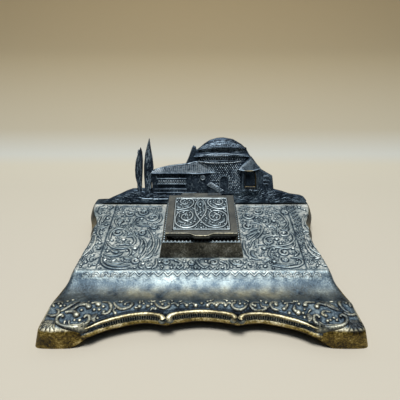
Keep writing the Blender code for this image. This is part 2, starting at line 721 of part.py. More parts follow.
def cavity():
    """The hollow under the plate, with the corners left solid as toes."""
    outline = skirt_outline()
    normals = outward_normals(outline)
    wall, deepest = FRONT_SET_BACK + SKIRT_WALL, SKIRT_BEVEL + SKIRT_WALL
    least = INSET_KEPT_SHARE * deepest
    kept = [
        (spot, normal)
        for spot, normal in zip(outline, normals)
        if distance_to_loop(spot - normal * deepest, outline) > least
    ]
    rings = []
    for height, inset in ((-CUT_OVERRUN, wall), (SHOULDER_HEIGHT, wall), (PLATE_TOP, deepest)):
        ring = [spot - normal * inset for spot, normal in kept]
        rings.append([(spot.x, spot.y, height) for spot in ring])
    hollow = lofted("cavity", rings)
    combine(hollow, top_section(PLATE_THICKNESS, "lowered_top"), "INTERSECT")
    size = HALF_DEPTH
    for x_side in (-1, 1):
        for y_side, thickness in ((-1, FRONT_TOE_THICKNESS), (1, REAR_TOE_THICKNESS)):
            name = f"toe_{'rear' if y_side > 0 else 'front'}_{'right' if x_side > 0 else 'left'}"
            toe = box(name, (-size / 2, 0.0, -size), (size / 2, size, size))
            turn = Matrix.Rotation(-x_side * math.radians(45.0), 4, "Z")
            if y_side < 0:
                turn = Matrix.Rotation(-x_side * math.radians(135.0), 4, "Z")
            corner = (x_side * FOOT_INNER_X, y_side * (HALF_DEPTH - thickness), 0.0)
            toe.data.transform(Matrix.Translation(corner) @ turn)
            cut(hollow, toe)
    return hollow


def foot_gap(half_span, height):
    """The outline of the gap between two feet, under the skirt."""
    return (
        (-half_span - FOOT_SLOPE * CUT_OVERRUN / height, -CUT_OVERRUN),
        (half_span + FOOT_SLOPE * CUT_OVERRUN / height, -CUT_OVERRUN),
        (half_span - FOOT_SLOPE, height),
        (FOOT_SLOPE - half_span, height),
    )


def box_screw_places():
    """Four places by name, inside the corners of the ink box's foot."""
    x = BOX_HALF_WIDTH + BOX_SIDE_FLARE - BOX_SCREW_INSET_X
    front = BOX_FRONT - BOX_FRONT_FLARE + BOX_SCREW_INSET_Y
    rear = BOX_REAR - BOX_SCREW_INSET_Y
    return {
        f"{end}_{side}": Vector((sign * x, y, 0.0))
        for end, y in (("front", front), ("rear", rear))
        for side, sign in (("left", -1), ("right", 1))
    }


def cup_section(grow=0.0):
    """The plan of the ink box's cup, which passes through the plate, grown all round."""
    half = BOX_HALF_WIDTH - BOX_WALL + CUP_WALL + grow
    front = BOX_FRONT + BOX_WALL - CUP_WALL - grow
    rear = BOX_REAR - BOX_WALL + CUP_WALL + grow
    return rounded_rectangle(-half, half, front, rear, CUP_CORNER + CUP_WALL + grow)


def prism(name, points, bottom, top):
    """A plan outline drawn up from bottom to top."""
    made = flat_outline(name, points, top - bottom)
    made.data.transform(Matrix.Translation((0.0, 0.0, (bottom + top) / 2)))
    return made


def post_places():
    """Three places by name along the foot of the relief."""
    x, y = FLANGE_HALF_WIDTH - POST_END_INSET, BACKDROP_FRONT_Y + POST_SET_BACK
    sides = (("left", -x), ("middle", 0.0), ("right", x))
    return {side: Vector((spot, y, 0.0)) for side, spot in sides}


def upright_spans(places, bottom, top):
    return [((spot.x, spot.y, bottom), (spot.x, spot.y, top)) for spot in places.values()]


def surface_height(y):
    """The height of the plate, the trough's slopes and the apron along Y."""
    if y > TROUGH_REAR:
        return PLATE_TOP
    if y > TROUGH_MIDDLE:
        share = (y - TROUGH_MIDDLE) / (TROUGH_REAR - TROUGH_MIDDLE)
        return TROUGH_BOTTOM + (PLATE_TOP - TROUGH_BOTTOM) * share**2
    share = (y - TROUGH_FRONT) / (-HALF_DEPTH - TROUGH_FRONT)
    return APRON_REAR_HEIGHT + (APRON_FRONT_HEIGHT - APRON_REAR_HEIGHT) * share


def ridge(spots, half_widths):
    """The rings of a low ridge along points on the plate, with a flat crest."""
    rings = []
    for k, (spot, half_width) in enumerate(zip(spots, half_widths)):
        along = spots[min(k + 1, len(spots) - 1)] - spots[max(k - 1, 0)]
        aside = Vector((-along.y, along.x)).normalized() * half_width
        low = surface_height(spot.y) - ORNAMENT_SINK
        high = surface_height(spot.y) + ORNAMENT_HEIGHT
        crest = aside * CREST_SHARE
        feet = [(spot - aside, low), (spot + aside, low), (spot + crest, high), (spot - crest, high)]
        rings.append([(place.x, place.y, height) for place, height in feet])
    return rings


def tapered(spots, half_width, end_share=STEM_END_SHARE):
    """A ridge that is thinner at its ends."""
    last = len(spots) - 1
    waves = [math.sin(math.pi * k / last) ** 0.5 for k in range(1, last)]
    shares = [end_share + (1 - end_share) * wave for wave in (0.0, *waves, 0.0)]
    return ridge(spots, [half_width * share for share in shares])


def stem(knots, half_width=STEM_HALF_WIDTH):
    return tapered([*spline_points(knots, ORNAMENT_SPACING), knots[-1]], half_width)


def scroll(middle, start_share, hand, radius=SCROLL_RADIUS):
    """A spiral ridge from its outer end inwards."""
    spots = []
    for share in (step / SCROLL_STEPS for step in range(SCROLL_STEPS + 1)):
        angle = 2 * math.pi * (start_share + hand * SCROLL_TURNS * share)
        reach = radius * (1 - SCROLL_CURL_SHARE * share)
        spots.append(middle + reach * Vector((math.cos(angle), math.sin(angle))))
    return tapered(spots, radius * SCROLL_LINE_SHARE)


def berry(middle):
    """The rings of a low six-sided boss."""
    surface = surface_height(middle.y)
    rings = []
    for share, height in ((1.0, -ORNAMENT_SINK), (CREST_SHARE, ORNAMENT_HEIGHT)):
        angles = (2 * math.pi * step / 6 for step in range(6))
        spots = [middle + BERRY_RADIUS * share * Vector((math.cos(a), math.sin(a))) for a in angles]
        rings.append([(spot.x, spot.y, surface + height) for spot in spots])
    return rings


def field_place(side, out_share, back_share):
    """A point of the ornamented field on one side of the ink box."""
    inner = BOX_HALF_WIDTH + BOX_SIDE_FLARE + ORNAMENT_MARGIN
    outer = HALF_WIDTH * FIELD_REACH_SHARE - SKIRT_BEVEL
    front, rear = TROUGH_REAR + ORNAMENT_MARGIN, BACKDROP_FRONT_Y - ORNAMENT_MARGIN
    x = side * (inner + (outer - inner) * out_share)
    return Vector((x, front + (rear - front) * back_share))


def field_ornament(side, scrolls, berries, stems, leaves):
    """Scrolls, berries, stems and leaves on one side of the ink box."""
    bodies = [scroll(field_place(side, out, back), start, 1) for out, back, start in scrolls]
    bodies += [berry(field_place(side, *shares)) for shares in berries]
    bodies += [stem([field_place(side, *shares) for shares in knots]) for knots in stems]
    for knots in leaves:
        bodies.append(stem([field_place(side, *shares) for shares in knots], LEAF_HALF_WIDTH))
    return bodies


def strip_ornament():
    """Scrolls in the strip between the trough and the ink box."""
    front, rear = TROUGH_REAR, BOX_FRONT - BOX_FRONT_FLARE
    radius = (rear - front) * STRIP_SCROLL_SHARE
    bodies = []
    for share, start in STRIP_SCROLL_SHARES:
        middle = Vector((share * (BOX_HALF_WIDTH + BOX_SIDE_FLARE), (front + rear) / 2))
        bodies.append(scroll(middle, start, -1, radius))
    return bodies


def tongues():
    """A row of small tongues down the rear slope of the trough."""
    count = int(HALF_WIDTH * TONGUE_SPAN_SHARE / TONGUE_PITCH)
    bodies = []
    for k in range(-count, count + 1):
        root, tip = (Vector((k * TONGUE_PITCH, TROUGH_REAR - run)) for run in (TONGUE_LENGTH, 0.0))
        middle = (TONGUE_ROOT_HALF_WIDTH + TONGUE_TIP_HALF_WIDTH) / 2
        widths = (TONGUE_ROOT_HALF_WIDTH, middle, TONGUE_TIP_HALF_WIDTH)
        bodies.append(ridge([root, root.lerp(tip, 0.5), tip], widths))
    return bodies


def apron_ornament():
    """Stems on the apron, and a fan of leaves on each front foot."""
    bodies = []
    for side in (-1, 1):
        for knots in APRON_STEM_SHARES:
            places = [Vector((side * x * HALF_WIDTH, TROUGH_FRONT - y * APRON_DEPTH)) for x, y in knots]
            bodies.append(stem(places))
        foot = Vector((side * (HALF_WIDTH - FAN_INSET_X), FAN_INSET_Y - HALF_DEPTH))
        for degrees in FAN_ANGLES:
            angle = math.radians(degrees)
            towards = FAN_LENGTH * Vector((side * math.cos(angle), -math.sin(angle)))
            leaf = [foot + towards * FAN_START_SHARE, foot + towards * 0.7, foot + towards]
            bodies.append(tapered(leaf, STEM_HALF_WIDTH))
    return bodies


def side_scrolls():
    """A long scroll on the bevel of each side."""
    outline = skirt_outline()
    front, rear = (share * HALF_DEPTH for share in SIDE_SCROLL_SPAN_SHARES)
    bodies = []
    for side in (-1, 1):
        rings = []
        for spot, normal in zip(outline, outward_normals(outline)):
            if spot.x * side > 0 and front < spot.y < rear:
                ring = []
                for inset_share, height_share in SIDE_SCROLL_SECTION_SHARES:
                    place = spot - normal * SKIRT_BEVEL * inset_share
                    height = SHOULDER_HEIGHT + (PLATE_TOP - SHOULDER_HEIGHT) * height_share
                    ring.append((place.x, place.y, height))
                rings.append(ring)
        bodies.append(rings)
    return bodies


def plate_ornament():
    """The main forms of the cast ornament, an object of closed bodies for each of its areas."""
    left = (LEFT_SCROLL_SHARES, LEFT_BERRY_SHARES, LEFT_STEM_SHARES, LEFT_LEAF_SHARES)
    right = (RIGHT_SCROLL_SHARES, RIGHT_BERRY_SHARES, RIGHT_STEM_SHARES, RIGHT_LEAF_SHARES)
    areas = {
        "left_field": field_ornament(-1, *left),
        "right_field": field_ornament(1, *right),
        "strip": strip_ornament(),
        "tongues": tongues(),
        "apron": apron_ornament(),
        "sides": side_scrolls(),
    }
    return [lofted(name, *bodies) for name, bodies in areas.items()]


def make_base_plate():
    plate = skirt_body()
    combine(plate, top_section(0.0, "plate_top"), "INTERSECT")
    cut(plate, cavity())
    front_gap = foot_gap(FOOT_INNER_X, FRONT_ARCH_HEIGHT)
    side_gap = foot_gap(FOOT_INNER_Y, SIDE_ARCH_HEIGHT)
    cut(plate, slab_along_y("front_gap", front_gap, HALF_DEPTH + 4 * CUT_OVERRUN))
    cut(plate, slab_along_x("side_gap", side_gap, HALF_WIDTH + FOOT_FLARE + CUT_OVERRUN))
    low, high = PLATE_TOP - PLATE_THICKNESS - CUT_OVERRUN, PLATE_TOP + CUT_OVERRUN
    cut(plate, prism("box_cut_out", cup_section(SEAT_GAP), low, high))
    screws = upright_spans(box_screw_places(), low, high)
    cut(plate, cylinders("box_screw_holes", SMALL_SHAFT_RADIUS + HOLE_CLEARANCE, screws))
    posts = upright_spans(post_places(), low, high)
    cut(plate, cylinders("post_holes", POST_RADIUS + HOLE_CLEARANCE, posts))
    add(plate, *plate_ornament())
    return as_piece(plate, AGED_BRASS)


def box_ring(share, height):
    """A rectangle round the ink box. share is 0 at its foot and 1 at its rim."""
    x = BOX_HALF_WIDTH + BOX_SIDE_FLARE * (1 - share)
    front = BOX_FRONT - BOX_FRONT_FLARE * (1 - share)
    corners = ((-x, front), (x, front), (x, BOX_REAR), (-x, BOX_REAR))
    return [(*corner, height) for corner in corners]


def box_inside(clearance=0.0):
    """The plan of the ink box's inside, drawn in by a clearance."""
    half = BOX_HALF_WIDTH - BOX_WALL - clearance
    front, rear = BOX_FRONT + BOX_WALL + clearance, BOX_REAR - BOX_WALL - clearance
    return rounded_rectangle(-half, half, front, rear, CUP_CORNER - clearance)


def leaf_screw_spans(start, end):
    xs, z = (-LEAF_SCREW_X, LEAF_SCREW_X), LEAF_SCREW_HEIGHT
    return [((x, start, z), (x, end, z)) for x in xs]


def make_ink_box():
    foot = PLATE_TOP + SEAT_GAP
    ink_box = lofted("ink_box", [box_ring(0.0, foot), box_ring(1.0, BOX_RIM_HEIGHT)])
    add(ink_box, prism("cup", cup_section(), CUP_BOTTOM, (foot + BOX_RIM_HEIGHT) / 2))
    top = BOX_RIM_HEIGHT + CUT_OVERRUN
    cut(ink_box, prism("box_inside", box_inside(), CUP_BOTTOM + CUP_FLOOR, top))
    deepest = foot + BOX_SCREW_DEPTH + HOLE_CLEARANCE
    spans = upright_spans(box_screw_places(), foot - CUT_OVERRUN, deepest)
    cut(ink_box, cylinders("box_blind_holes", SMALL_SHAFT_RADIUS + HOLE_CLEARANCE, spans))
    spans = leaf_screw_spans(BOX_REAR - BOX_WALL - CUT_OVERRUN, BOX_REAR + CUT_OVERRUN)
    cut(ink_box, cylinders("leaf_holes", SMALL_SHAFT_RADIUS + HOLE_CLEARANCE, spans))
    return as_piece(ink_box, DARK_BRASS)


def screw_profile(shaft_radius, head_radius, head_height, length):
    """(radius, height) of a screw with its head up, its seat at height 0 and its shaft below."""
    return (
        (0.0, head_height),
        (head_radius - head_height / 4, head_height),
        (head_radius, head_height * 3 / 4),
        (head_radius, 0.0),
        (shaft_radius, 0.0),
        (shaft_radius, -length),
        (0.0, -length),
    )


def make_ink_box_screws():
    """Four screws from below the plate into the foot of the ink box."""
    seat = PLATE_TOP - PLATE_THICKNESS - SEAT_GAP
    length = PLATE_THICKNESS + 2 * SEAT_GAP + BOX_SCREW_DEPTH
    profile = screw_profile(SMALL_SHAFT_RADIUS, SMALL_HEAD_RADIUS, SMALL_HEAD_HEIGHT, length)
    flip = Matrix.Rotation(math.pi, 4, "X")
    places = {
        f"ink_box_screw_{corner}": Matrix.Translation((spot.x, spot.y, seat)) @ flip
        for corner, spot in box_screw_places().items()
    }
    as_copies(turned("ink_box_screw", profile), FASTENER_BRASS, places)


def make_ink_pot():
    bottom = CUP_BOTTOM + CUP_FLOOR + SEAT_GAP
    top = LID_TOP - LID_THICKNESS - SEAT_GAP
    pot = prism("ink_pot", box_inside(POT_CLEARANCE), bottom, top)
    floor = bottom + WELL_FLOOR
    profile = [(0.0, top + CUT_OVERRUN), (WELL_RADIUS, top + CUT_OVERRUN)]
    steps = 5
    for step in range(steps + 1):
        angle = step / steps * math.pi / 2
        radius = WELL_RADIUS - WELL_ROUNDING * (1 - math.cos(angle))
        profile.append((radius, floor + WELL_ROUNDING * (1 - math.sin(angle))))
    profile.append((0.0, floor))
    well = turned("well", profile, steps=2 * ROUND_STEPS)
    well.location.y = (BOX_FRONT + BOX_REAR) / 2
    cut(pot, well)
    return as_piece(pot, BLACK_GLASS)


# The hinge axis, behind the ink box and level with the lid.
HINGE_Y = BOX_REAR + BARREL_CLEARANCE + BARREL_RADIUS
HINGE_Z = LID_TOP - LID_THICKNESS / 2


def lid_outline():
    """The lid's plan about the hinge line, with a thumb lip and a tab into its knuckle."""
    front, rear = LID_FRONT - HINGE_Y, -BARREL_RADIUS - LID_REAR_CLEARANCE
    tab = LID_KNUCKLE_HALF_LENGTH - KNUCKLE_GAP
    points = [(LID_HALF_WIDTH, rear), (tab, rear), (tab, -PIN_RADIUS), (-tab, -PIN_RADIUS)]
    points += [(-tab, rear), (-LID_HALF_WIDTH, rear), (-LID_HALF_WIDTH, front)]
    steps = 6
    slope = [(step / steps, ramp(step, 0, steps)) for step in range(1, steps + 1)]
    run = THUMB_LIP_HALF_WIDTH - THUMB_LIP_FLAT_HALF_WIDTH
    start = -THUMB_LIP_HALF_WIDTH
    left = [(start + run * t, front - THUMB_LIP_REACH * drop) for t, drop in slope]
    points += left + [(-x, y) for x, y in reversed(left)]
    points.append((LID_HALF_WIDTH, front))
    return points


def panel_plan(grow=0.0):
    """Left, right, front and rear of the lid's panel about the hinge line, grown all round."""
    front = LID_FRONT + PANEL_FRONT_MARGIN - HINGE_Y - grow
    rear = -BARREL_RADIUS - LID_REAR_CLEARANCE - PANEL_REAR_MARGIN + grow
    return (-PANEL_HALF_WIDTH - grow, PANEL_HALF_WIDTH + grow, front, rear)


def on_hinge(obj):
    """Moves an object that was drawn about the hinge line to it."""
    obj.location = (0.0, HINGE_Y, HINGE_Z)
    return obj


def make_lid():
    """The lid, with its middle knuckle rolled from the same sheet."""
    half = LID_THICKNESS / 2
    lid = on_hinge(prism("lid", lid_outline(), -half, half))
    x = LID_KNUCKLE_HALF_LENGTH
    knuckle = cylinders("lid_knuckle", BARREL_RADIUS, [((-x, 0, 0), (x, 0, 0))], ROUND_STEPS)
    add(lid, on_hinge(knuckle))
    left, right, front, rear = panel_plan(SEAT_GAP)
    low, high = (left, front, half - PANEL_RECESS), (right, rear, half + CUT_OVERRUN)
    cut(lid, on_hinge(box("panel_recess", low, high)))
    reach = x + CUT_OVERRUN
    bore = cylinders("lid_bore", PIN_RADIUS + HOLE_CLEARANCE, [((-reach, 0, 0), (reach, 0, 0))])
    cut(lid, on_hinge(bore))
    return as_piece(lid, LID_BRASS)


def make_lid_panel():
    bottom = LID_THICKNESS / 2 - PANEL_RECESS + SEAT_GAP
    left, right, front, rear = panel_plan()
    panel = box("lid_panel", (left, front, bottom), (right, rear, bottom + PANEL_THICKNESS))
    return as_piece(on_hinge(panel), PANEL_BRASS)


def make_hinge_leaf():
    """The fixed leaf on the ink box's rear wall, with a knuckle at each end."""
    front = BOX_REAR + SEAT_GAP
    top = HINGE_Z - BARREL_RADIUS - 2 * KNUCKLE_GAP
    leaf = box(
        "hinge_leaf",
        (-HINGE_HALF_LENGTH, front, LEAF_BOTTOM),
        (HINGE_HALF_LENGTH, front + LEAF_THICKNESS, top),
    )
    inner = LID_KNUCKLE_HALF_LENGTH + KNUCKLE_GAP
    for side, name in ((-1, "left"), (1, "right")):
        ends = sorted((side * inner, side * HINGE_HALF_LENGTH))
        low = (ends[0], front, top - LEAF_THICKNESS)
        high = (ends[1], front + LEAF_THICKNESS, HINGE_Z - PIN_RADIUS / 2)
        add(leaf, box(f"{name}_tab", low, high))
        span = [((end, HINGE_Y, HINGE_Z) for end in ends)]
        add(leaf, cylinders(f"{name}_knuckle", BARREL_RADIUS, span, ROUND_STEPS))
    reach = HINGE_HALF_LENGTH + CUT_OVERRUN
    bore = cylinders("leaf_bore", PIN_RADIUS + HOLE_CLEARANCE, [((-reach, 0, 0), (reach, 0, 0))])
    cut(leaf, on_hinge(bore))
    spans = leaf_screw_spans(front - CUT_OVERRUN, front + LEAF_THICKNESS + CUT_OVERRUN)
    cut(leaf, cylinders("leaf_screw_holes", SMALL_SHAFT_RADIUS + HOLE_CLEARANCE, spans))
    return as_piece(leaf, DARK_BRASS)


def make_hinge_pin():
    reach = HINGE_HALF_LENGTH + PIN_OVERHANG
    pin = cylinders("hinge_pin", PIN_RADIUS, [((-reach, 0, 0), (reach, 0, 0))])
    return as_piece(on_hinge(pin), FASTENER_BRASS)


def make_hinge_leaf_screws():
    seat = BOX_REAR + SEAT_GAP + LEAF_THICKNESS + SEAT_GAP
    length = SEAT_GAP + LEAF_THICKNESS + BOX_WALL
    profile = screw_profile(SMALL_SHAFT_RADIUS, SMALL_HEAD_RADIUS, SMALL_HEAD_HEIGHT, length)
    turn = Matrix.Rotation(-math.pi / 2, 4, "X")
    places = {
        f"hinge_leaf_screw_{side}": Matrix.Translation((x, seat, LEAF_SCREW_HEIGHT)) @ turn
        for side, x in (("left", -LEAF_SCREW_X), ("right", LEAF_SCREW_X))
    }
    as_copies(turned("hinge_leaf_screw", profile), FASTENER_BRASS, places)


# The washers and nuts under the plate that hold the relief's posts.
WASHER_TOP = PLATE_TOP - PLATE_THICKNESS - SEAT_GAP
NUT_TOP = WASHER_TOP - WASHER_THICKNESS - SEAT_GAP


def on_relief(x_share, height_share):
    """A point of the relief in its own plane."""
    return Vector((x_share * BACKDROP_HALF_WIDTH, height_share * BACKDROP_HEIGHT))


def lean_back(obj):
    """Stands an object drawn in the relief's own plane on the plate."""
    obj.location = (0.0, BACKDROP_FRONT_Y, BACKDROP_BOTTOM)
    obj.rotation_euler = (math.pi / 2 - BACKDROP_LEAN, 0.0, 0.0)
    return obj


def raised(name, points, relief):
    """A flat form that stands out from the slab by relief."""
    return lean_back(prism(name, points, -FORM_SINK, relief))


def tree_outline(foot_x, foot_height, tip_x, tip_height, half_width):
    """A cypress: a pointed oval on a leaning axis."""
    foot, tip = on_relief(foot_x, foot_height), on_relief(tip_x, tip_height)
    widest = half_width * BACKDROP_HALF_WIDTH
    steps = 8
    right, left = [], []
    for share in (step / steps for step in range(steps)):
        wave = math.sin(math.pi * (TREE_FOOT_SHARE + (1 - TREE_FOOT_SHARE) * share))
        aside = Vector((widest * wave**TREE_FULLNESS, 0.0))
        right.append(foot.lerp(tip, share) + aside)
        left.append(foot.lerp(tip, share) - aside)
    return [*right, tip, *reversed(left)]


def bulged_wall(name, span_shares, height_shares, relief):
    """A wall that swells towards the viewer like part of a drum."""
    low, high = (on_relief(*corner) for corner in zip(span_shares, height_shares))
    steps = 10
    points = [(high.x, -FORM_SINK), (low.x, -FORM_SINK)]
    for share in ((step + 0.5) / steps for step in range(steps)):
        rise = relief * math.sin(math.pi * share) ** DRUM_FULLNESS
        points.append((low.x + (high.x - low.x) * share, rise))
    wall = flat_outline(name, points, high.y - low.y)
    upright = Matrix(((1, 0, 0, 0), (0, 0, -1, 0), (0, 1, 0, 0), (0, 0, 0, 1)))
    wall.data.transform(Matrix.Translation((0.0, (low.y + high.y) / 2, 0.0)) @ upright)
    return lean_back(wall)


def keep_side(bm, place, away):
    """Cuts a closed form at a plane, drops what lies beyond it and closes the cut."""
    geometry = [*bm.verts, *bm.edges, *bm.faces]
    sliced = bmesh.ops.bisect_plane(
        bm, geom=geometry, plane_co=place, plane_no=away, clear_outer=True
    )
    edges = [item for item in sliced["geom_cut"] if isinstance(item, bmesh.types.BMEdge)]
    bmesh.ops.contextual_create(bm, geom=edges)


def dome_form():
    """A quarter of an egg shape over the rotunda, sunk into the slab."""
    middle = on_relief(sum(ROTUNDA_SPAN_SHARES) / 2, ROTUNDA_HEIGHT_SHARES[1])
    middle.y -= FORM_OVERLAP
    half_width = (ROTUNDA_SPAN_SHARES[1] - ROTUNDA_SPAN_SHARES[0]) / 2 * BACKDROP_HALF_WIDTH
    size = (half_width, DOME_HEIGHT_SHARE * BACKDROP_HEIGHT, ROTUNDA_RELIEF)

    def build(bm):
        place = Matrix.Translation((middle.x, middle.y, 0.0)) @ Matrix.Diagonal((*size, 1.0))
        steps = ROUND_STEPS
        bmesh.ops.create_uvsphere(bm, u_segments=steps, v_segments=12, radius=1.0, matrix=place)
        keep_side(bm, (0.0, middle.y, 0.0), (0.0, -1.0, 0.0))
        keep_side(bm, (0.0, 0.0, -FORM_SINK), (0.0, 0.0, -1.0))

    return lean_back(helper("dome", mesh_from("dome", build)))


def pavilion_roof():
    """The small pointed roof at the right of the rotunda, sunk into the slab."""
    middle = on_relief(sum(PAVILION_SPAN_SHARES) / 2, PAVILION_HEIGHT_SHARES[1])
    middle.y -= FORM_OVERLAP
    height = PAVILION_ROOF_SHARE * BACKDROP_HEIGHT
    eaves = PAVILION_EAVES_SHARE * BACKDROP_HALF_WIDTH

    def build(bm):
        place = Matrix.Translation((middle.x, middle.y + height / 2, 0.0))
        size = Matrix.Diagonal((eaves, 1.0, PAVILION_RELIEF + FORM_SINK, 1.0))
        bmesh.ops.create_cone(
            bm,
            cap_ends=True,
            segments=ROUND_STEPS,
            radius1=1.0,
            radius2=0.0,
            depth=height,
            matrix=place @ size @ Matrix.Rotation(-math.pi / 2, 4, "X"),
        )
        keep_side(bm, (0.0, 0.0, -FORM_SINK), (0.0, 0.0, -1.0))

    return lean_back(helper("pavilion_roof", mesh_from("pavilion_roof", build)))


def outline_on_relief(shares):
    return [on_relief(*pair) for pair in shares]


def flange():
    """The foot that the relief stands on, behind its face."""
    start = BACKDROP_FRONT_Y + BACKDROP_THICKNESS * FLANGE_FRONT_SHARE
    bottom = PLATE_TOP + SEAT_GAP
    low = (-FLANGE_HALF_WIDTH, start, bottom)
    rear = BACKDROP_FRONT_Y + FLANGE_DEPTH
    high = (FLANGE_HALF_WIDTH, rear, bottom + FLANGE_THICKNESS)
    return box("flange", low, high)


def make_backdrop():
    """The relief: a leaning slab with raised forms, and a flange with three threaded posts."""
    skyline = outline_on_relief(SKYLINE_SHARES)
    backdrop = lean_back(prism("backdrop", skyline, -BACKDROP_THICKNESS, 0.0))
    back = -BACKDROP_THICKNESS * TREE_DEPTH_SHARE
    for k, tree in enumerate(TREES_SHARES):
        add(backdrop, lean_back(prism(f"tree_{k}", tree_outline(*tree), back, TREE_RELIEF)))
    add(backdrop, raised("ground", outline_on_relief(GROUND_SHARES), GROUND_RELIEF))
    add(backdrop, raised("house", outline_on_relief(HOUSE_SHARES), WALL_RELIEF))
    add(backdrop, raised("terrace", outline_on_relief(TERRACE_SHARES), ROOF_RELIEF))
    drum = bulged_wall("rotunda", ROTUNDA_SPAN_SHARES, ROTUNDA_HEIGHT_SHARES, ROTUNDA_RELIEF)
    add(backdrop, drum)
    add(backdrop, raised("roof", outline_on_relief(ROOF_SHARES), ROOF_RELIEF))
    add(backdrop, dome_form())
    body = bulged_wall("pavilion", PAVILION_SPAN_SHARES, PAVILION_HEIGHT_SHARES, PAVILION_RELIEF)
    add(backdrop, body, pavilion_roof(), flange())
    low = NUT_TOP - NUT_HEIGHT - POST_OVERRUN
    spans = upright_spans(post_places(), low, PLATE_TOP + 2 * SEAT_GAP)
    add(backdrop, cylinders("posts", POST_RADIUS, spans))
    return as_piece(backdrop, BLACKENED_BRASS)


def pierced(name, radius, height, hole_radius, segments):
    """A disc or a hexagon with a round hole, its top face at height 0."""
    made = cylinders(name, radius, [((0, 0, -height), (0, 0, 0))], segments)
    span = [((0, 0, -height - CUT_OVERRUN), (0, 0, CUT_OVERRUN))]
    cutter = cylinders(f"{name}_hole", hole_radius, span)
    combine(made, cutter, "DIFFERENCE")
    graph = bpy.context.evaluated_depsgraph_get()
    made.data = bpy.data.meshes.new_from_object(made.evaluated_get(graph))
    made.modifiers.clear()
    bpy.data.objects.remove(cutter, do_unlink=True)
    return made


def make_backdrop_fasteners():
    """A washer and a nut under the plate for each of the relief's posts."""
    hole, sides = POST_RADIUS + HOLE_CLEARANCE, SMALL_ROUND_STEPS
    washer = pierced("backdrop_washer", WASHER_RADIUS, WASHER_THICKNESS, hole, sides)
    nut = pierced("backdrop_nut", NUT_RADIUS, NUT_HEIGHT, hole, 6)
    for kind, height in ((washer, WASHER_TOP), (nut, NUT_TOP)):
        places = {
            f"{kind.name}_{side}": Matrix.Translation((spot.x, spot.y, height))
            for side, spot in post_places().items()
        }
        as_copies(kind, FASTENER_BRASS, places)


make_base_plate()
make_ink_box()
make_ink_box_screws()
make_ink_pot()
make_lid()
make_lid_panel()
make_hinge_leaf()
make_hinge_pin()
make_hinge_leaf_screws()
make_backdrop()
make_backdrop_fasteners()
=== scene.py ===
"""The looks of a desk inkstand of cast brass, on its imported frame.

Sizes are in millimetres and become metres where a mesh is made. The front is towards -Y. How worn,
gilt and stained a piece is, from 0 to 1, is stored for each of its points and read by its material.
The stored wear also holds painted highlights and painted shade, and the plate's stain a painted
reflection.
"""

import math

import bmesh
import bpy
import numpy as np
from mathutils import Matrix, Vector
from mathutils.bvhtree import BVHTree
from mathutils.kdtree import KDTree


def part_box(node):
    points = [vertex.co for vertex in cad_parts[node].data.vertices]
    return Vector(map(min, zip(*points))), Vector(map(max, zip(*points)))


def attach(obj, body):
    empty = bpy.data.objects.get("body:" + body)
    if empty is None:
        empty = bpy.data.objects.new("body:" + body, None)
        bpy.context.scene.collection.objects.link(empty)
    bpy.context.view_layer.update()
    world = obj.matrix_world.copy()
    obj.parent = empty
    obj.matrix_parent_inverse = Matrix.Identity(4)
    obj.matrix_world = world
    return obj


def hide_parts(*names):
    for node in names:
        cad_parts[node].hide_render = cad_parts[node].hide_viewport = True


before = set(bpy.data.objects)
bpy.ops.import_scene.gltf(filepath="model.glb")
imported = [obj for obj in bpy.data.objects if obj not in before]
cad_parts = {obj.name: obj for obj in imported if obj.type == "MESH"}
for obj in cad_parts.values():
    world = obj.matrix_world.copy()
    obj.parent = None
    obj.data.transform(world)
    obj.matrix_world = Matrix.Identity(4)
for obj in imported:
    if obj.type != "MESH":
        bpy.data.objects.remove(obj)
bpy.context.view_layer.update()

MM = 0.001
SHARP_EDGE = math.radians(48.0)


def node_box(node):
    """A node's lowest and highest corners in millimetres."""
    return [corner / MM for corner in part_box(node)]


# The frame
PLATE_TOP = node_box("base_plate")[1].z
BOX_LOW, BOX_HIGH = node_box("ink_box")
LID_LOW, LID_HIGH = node_box("lid")
PANEL_LOW, PANEL_HIGH = node_box("lid_panel")
HINGE_FRONT = node_box("hinge_pin")[0].y - 1.2  # of the knuckles
LID_MARGIN_TOP = PANEL_HIGH.z - 0.4

# Base plate
HALF_WIDTH = 95.5
HALF_DEPTH = 71.0
SHOULDER_HEIGHT = 12.6
PLATE_THICKNESS = 2.0
FRONT_ARCH_HEIGHT = 7.0
SIDE_ARCH_HEIGHT = 6.2
FOOT_INNER_X = 78.0
FOOT_INNER_Y = 48.0
FOOT_SLOPE = 11.0
FOOT_FLARE = 4.0
REAR_FOOT_FLARE = 3.2
MOULDING_HALF_WIDTH = 66.0
MOULDING_FADE = 8.0
TROUGH_FRONT, TROUGH_MIDDLE, TROUGH_REAR = -50.5, -41.0, -26.5
TROUGH_BOTTOM = 13.6
APRON_REAR_HEIGHT, APRON_FRONT_HEIGHT = 16.4, 15.2
OUTLINE_SPACING = 0.3
SKIRT_THICKNESS = 6.2
FRONT_TOE, REAR_TOE = 143.0, 136.0  # x + y beyond which a corner is solid
CUTTER_REACH = 15.0  # how far the cutters reach past the plate
BOX_HOLE_SIDE, BOX_HOLE_FRONT, BOX_HOLE_REAR = 2.8, 2.0, 0.6  # inwards from the ink box
BOX_HOLE_RADIUS, BOX_HOLE_FOOT = 7.0, 10.0
GRID_X, GRID_Y = 300, 214

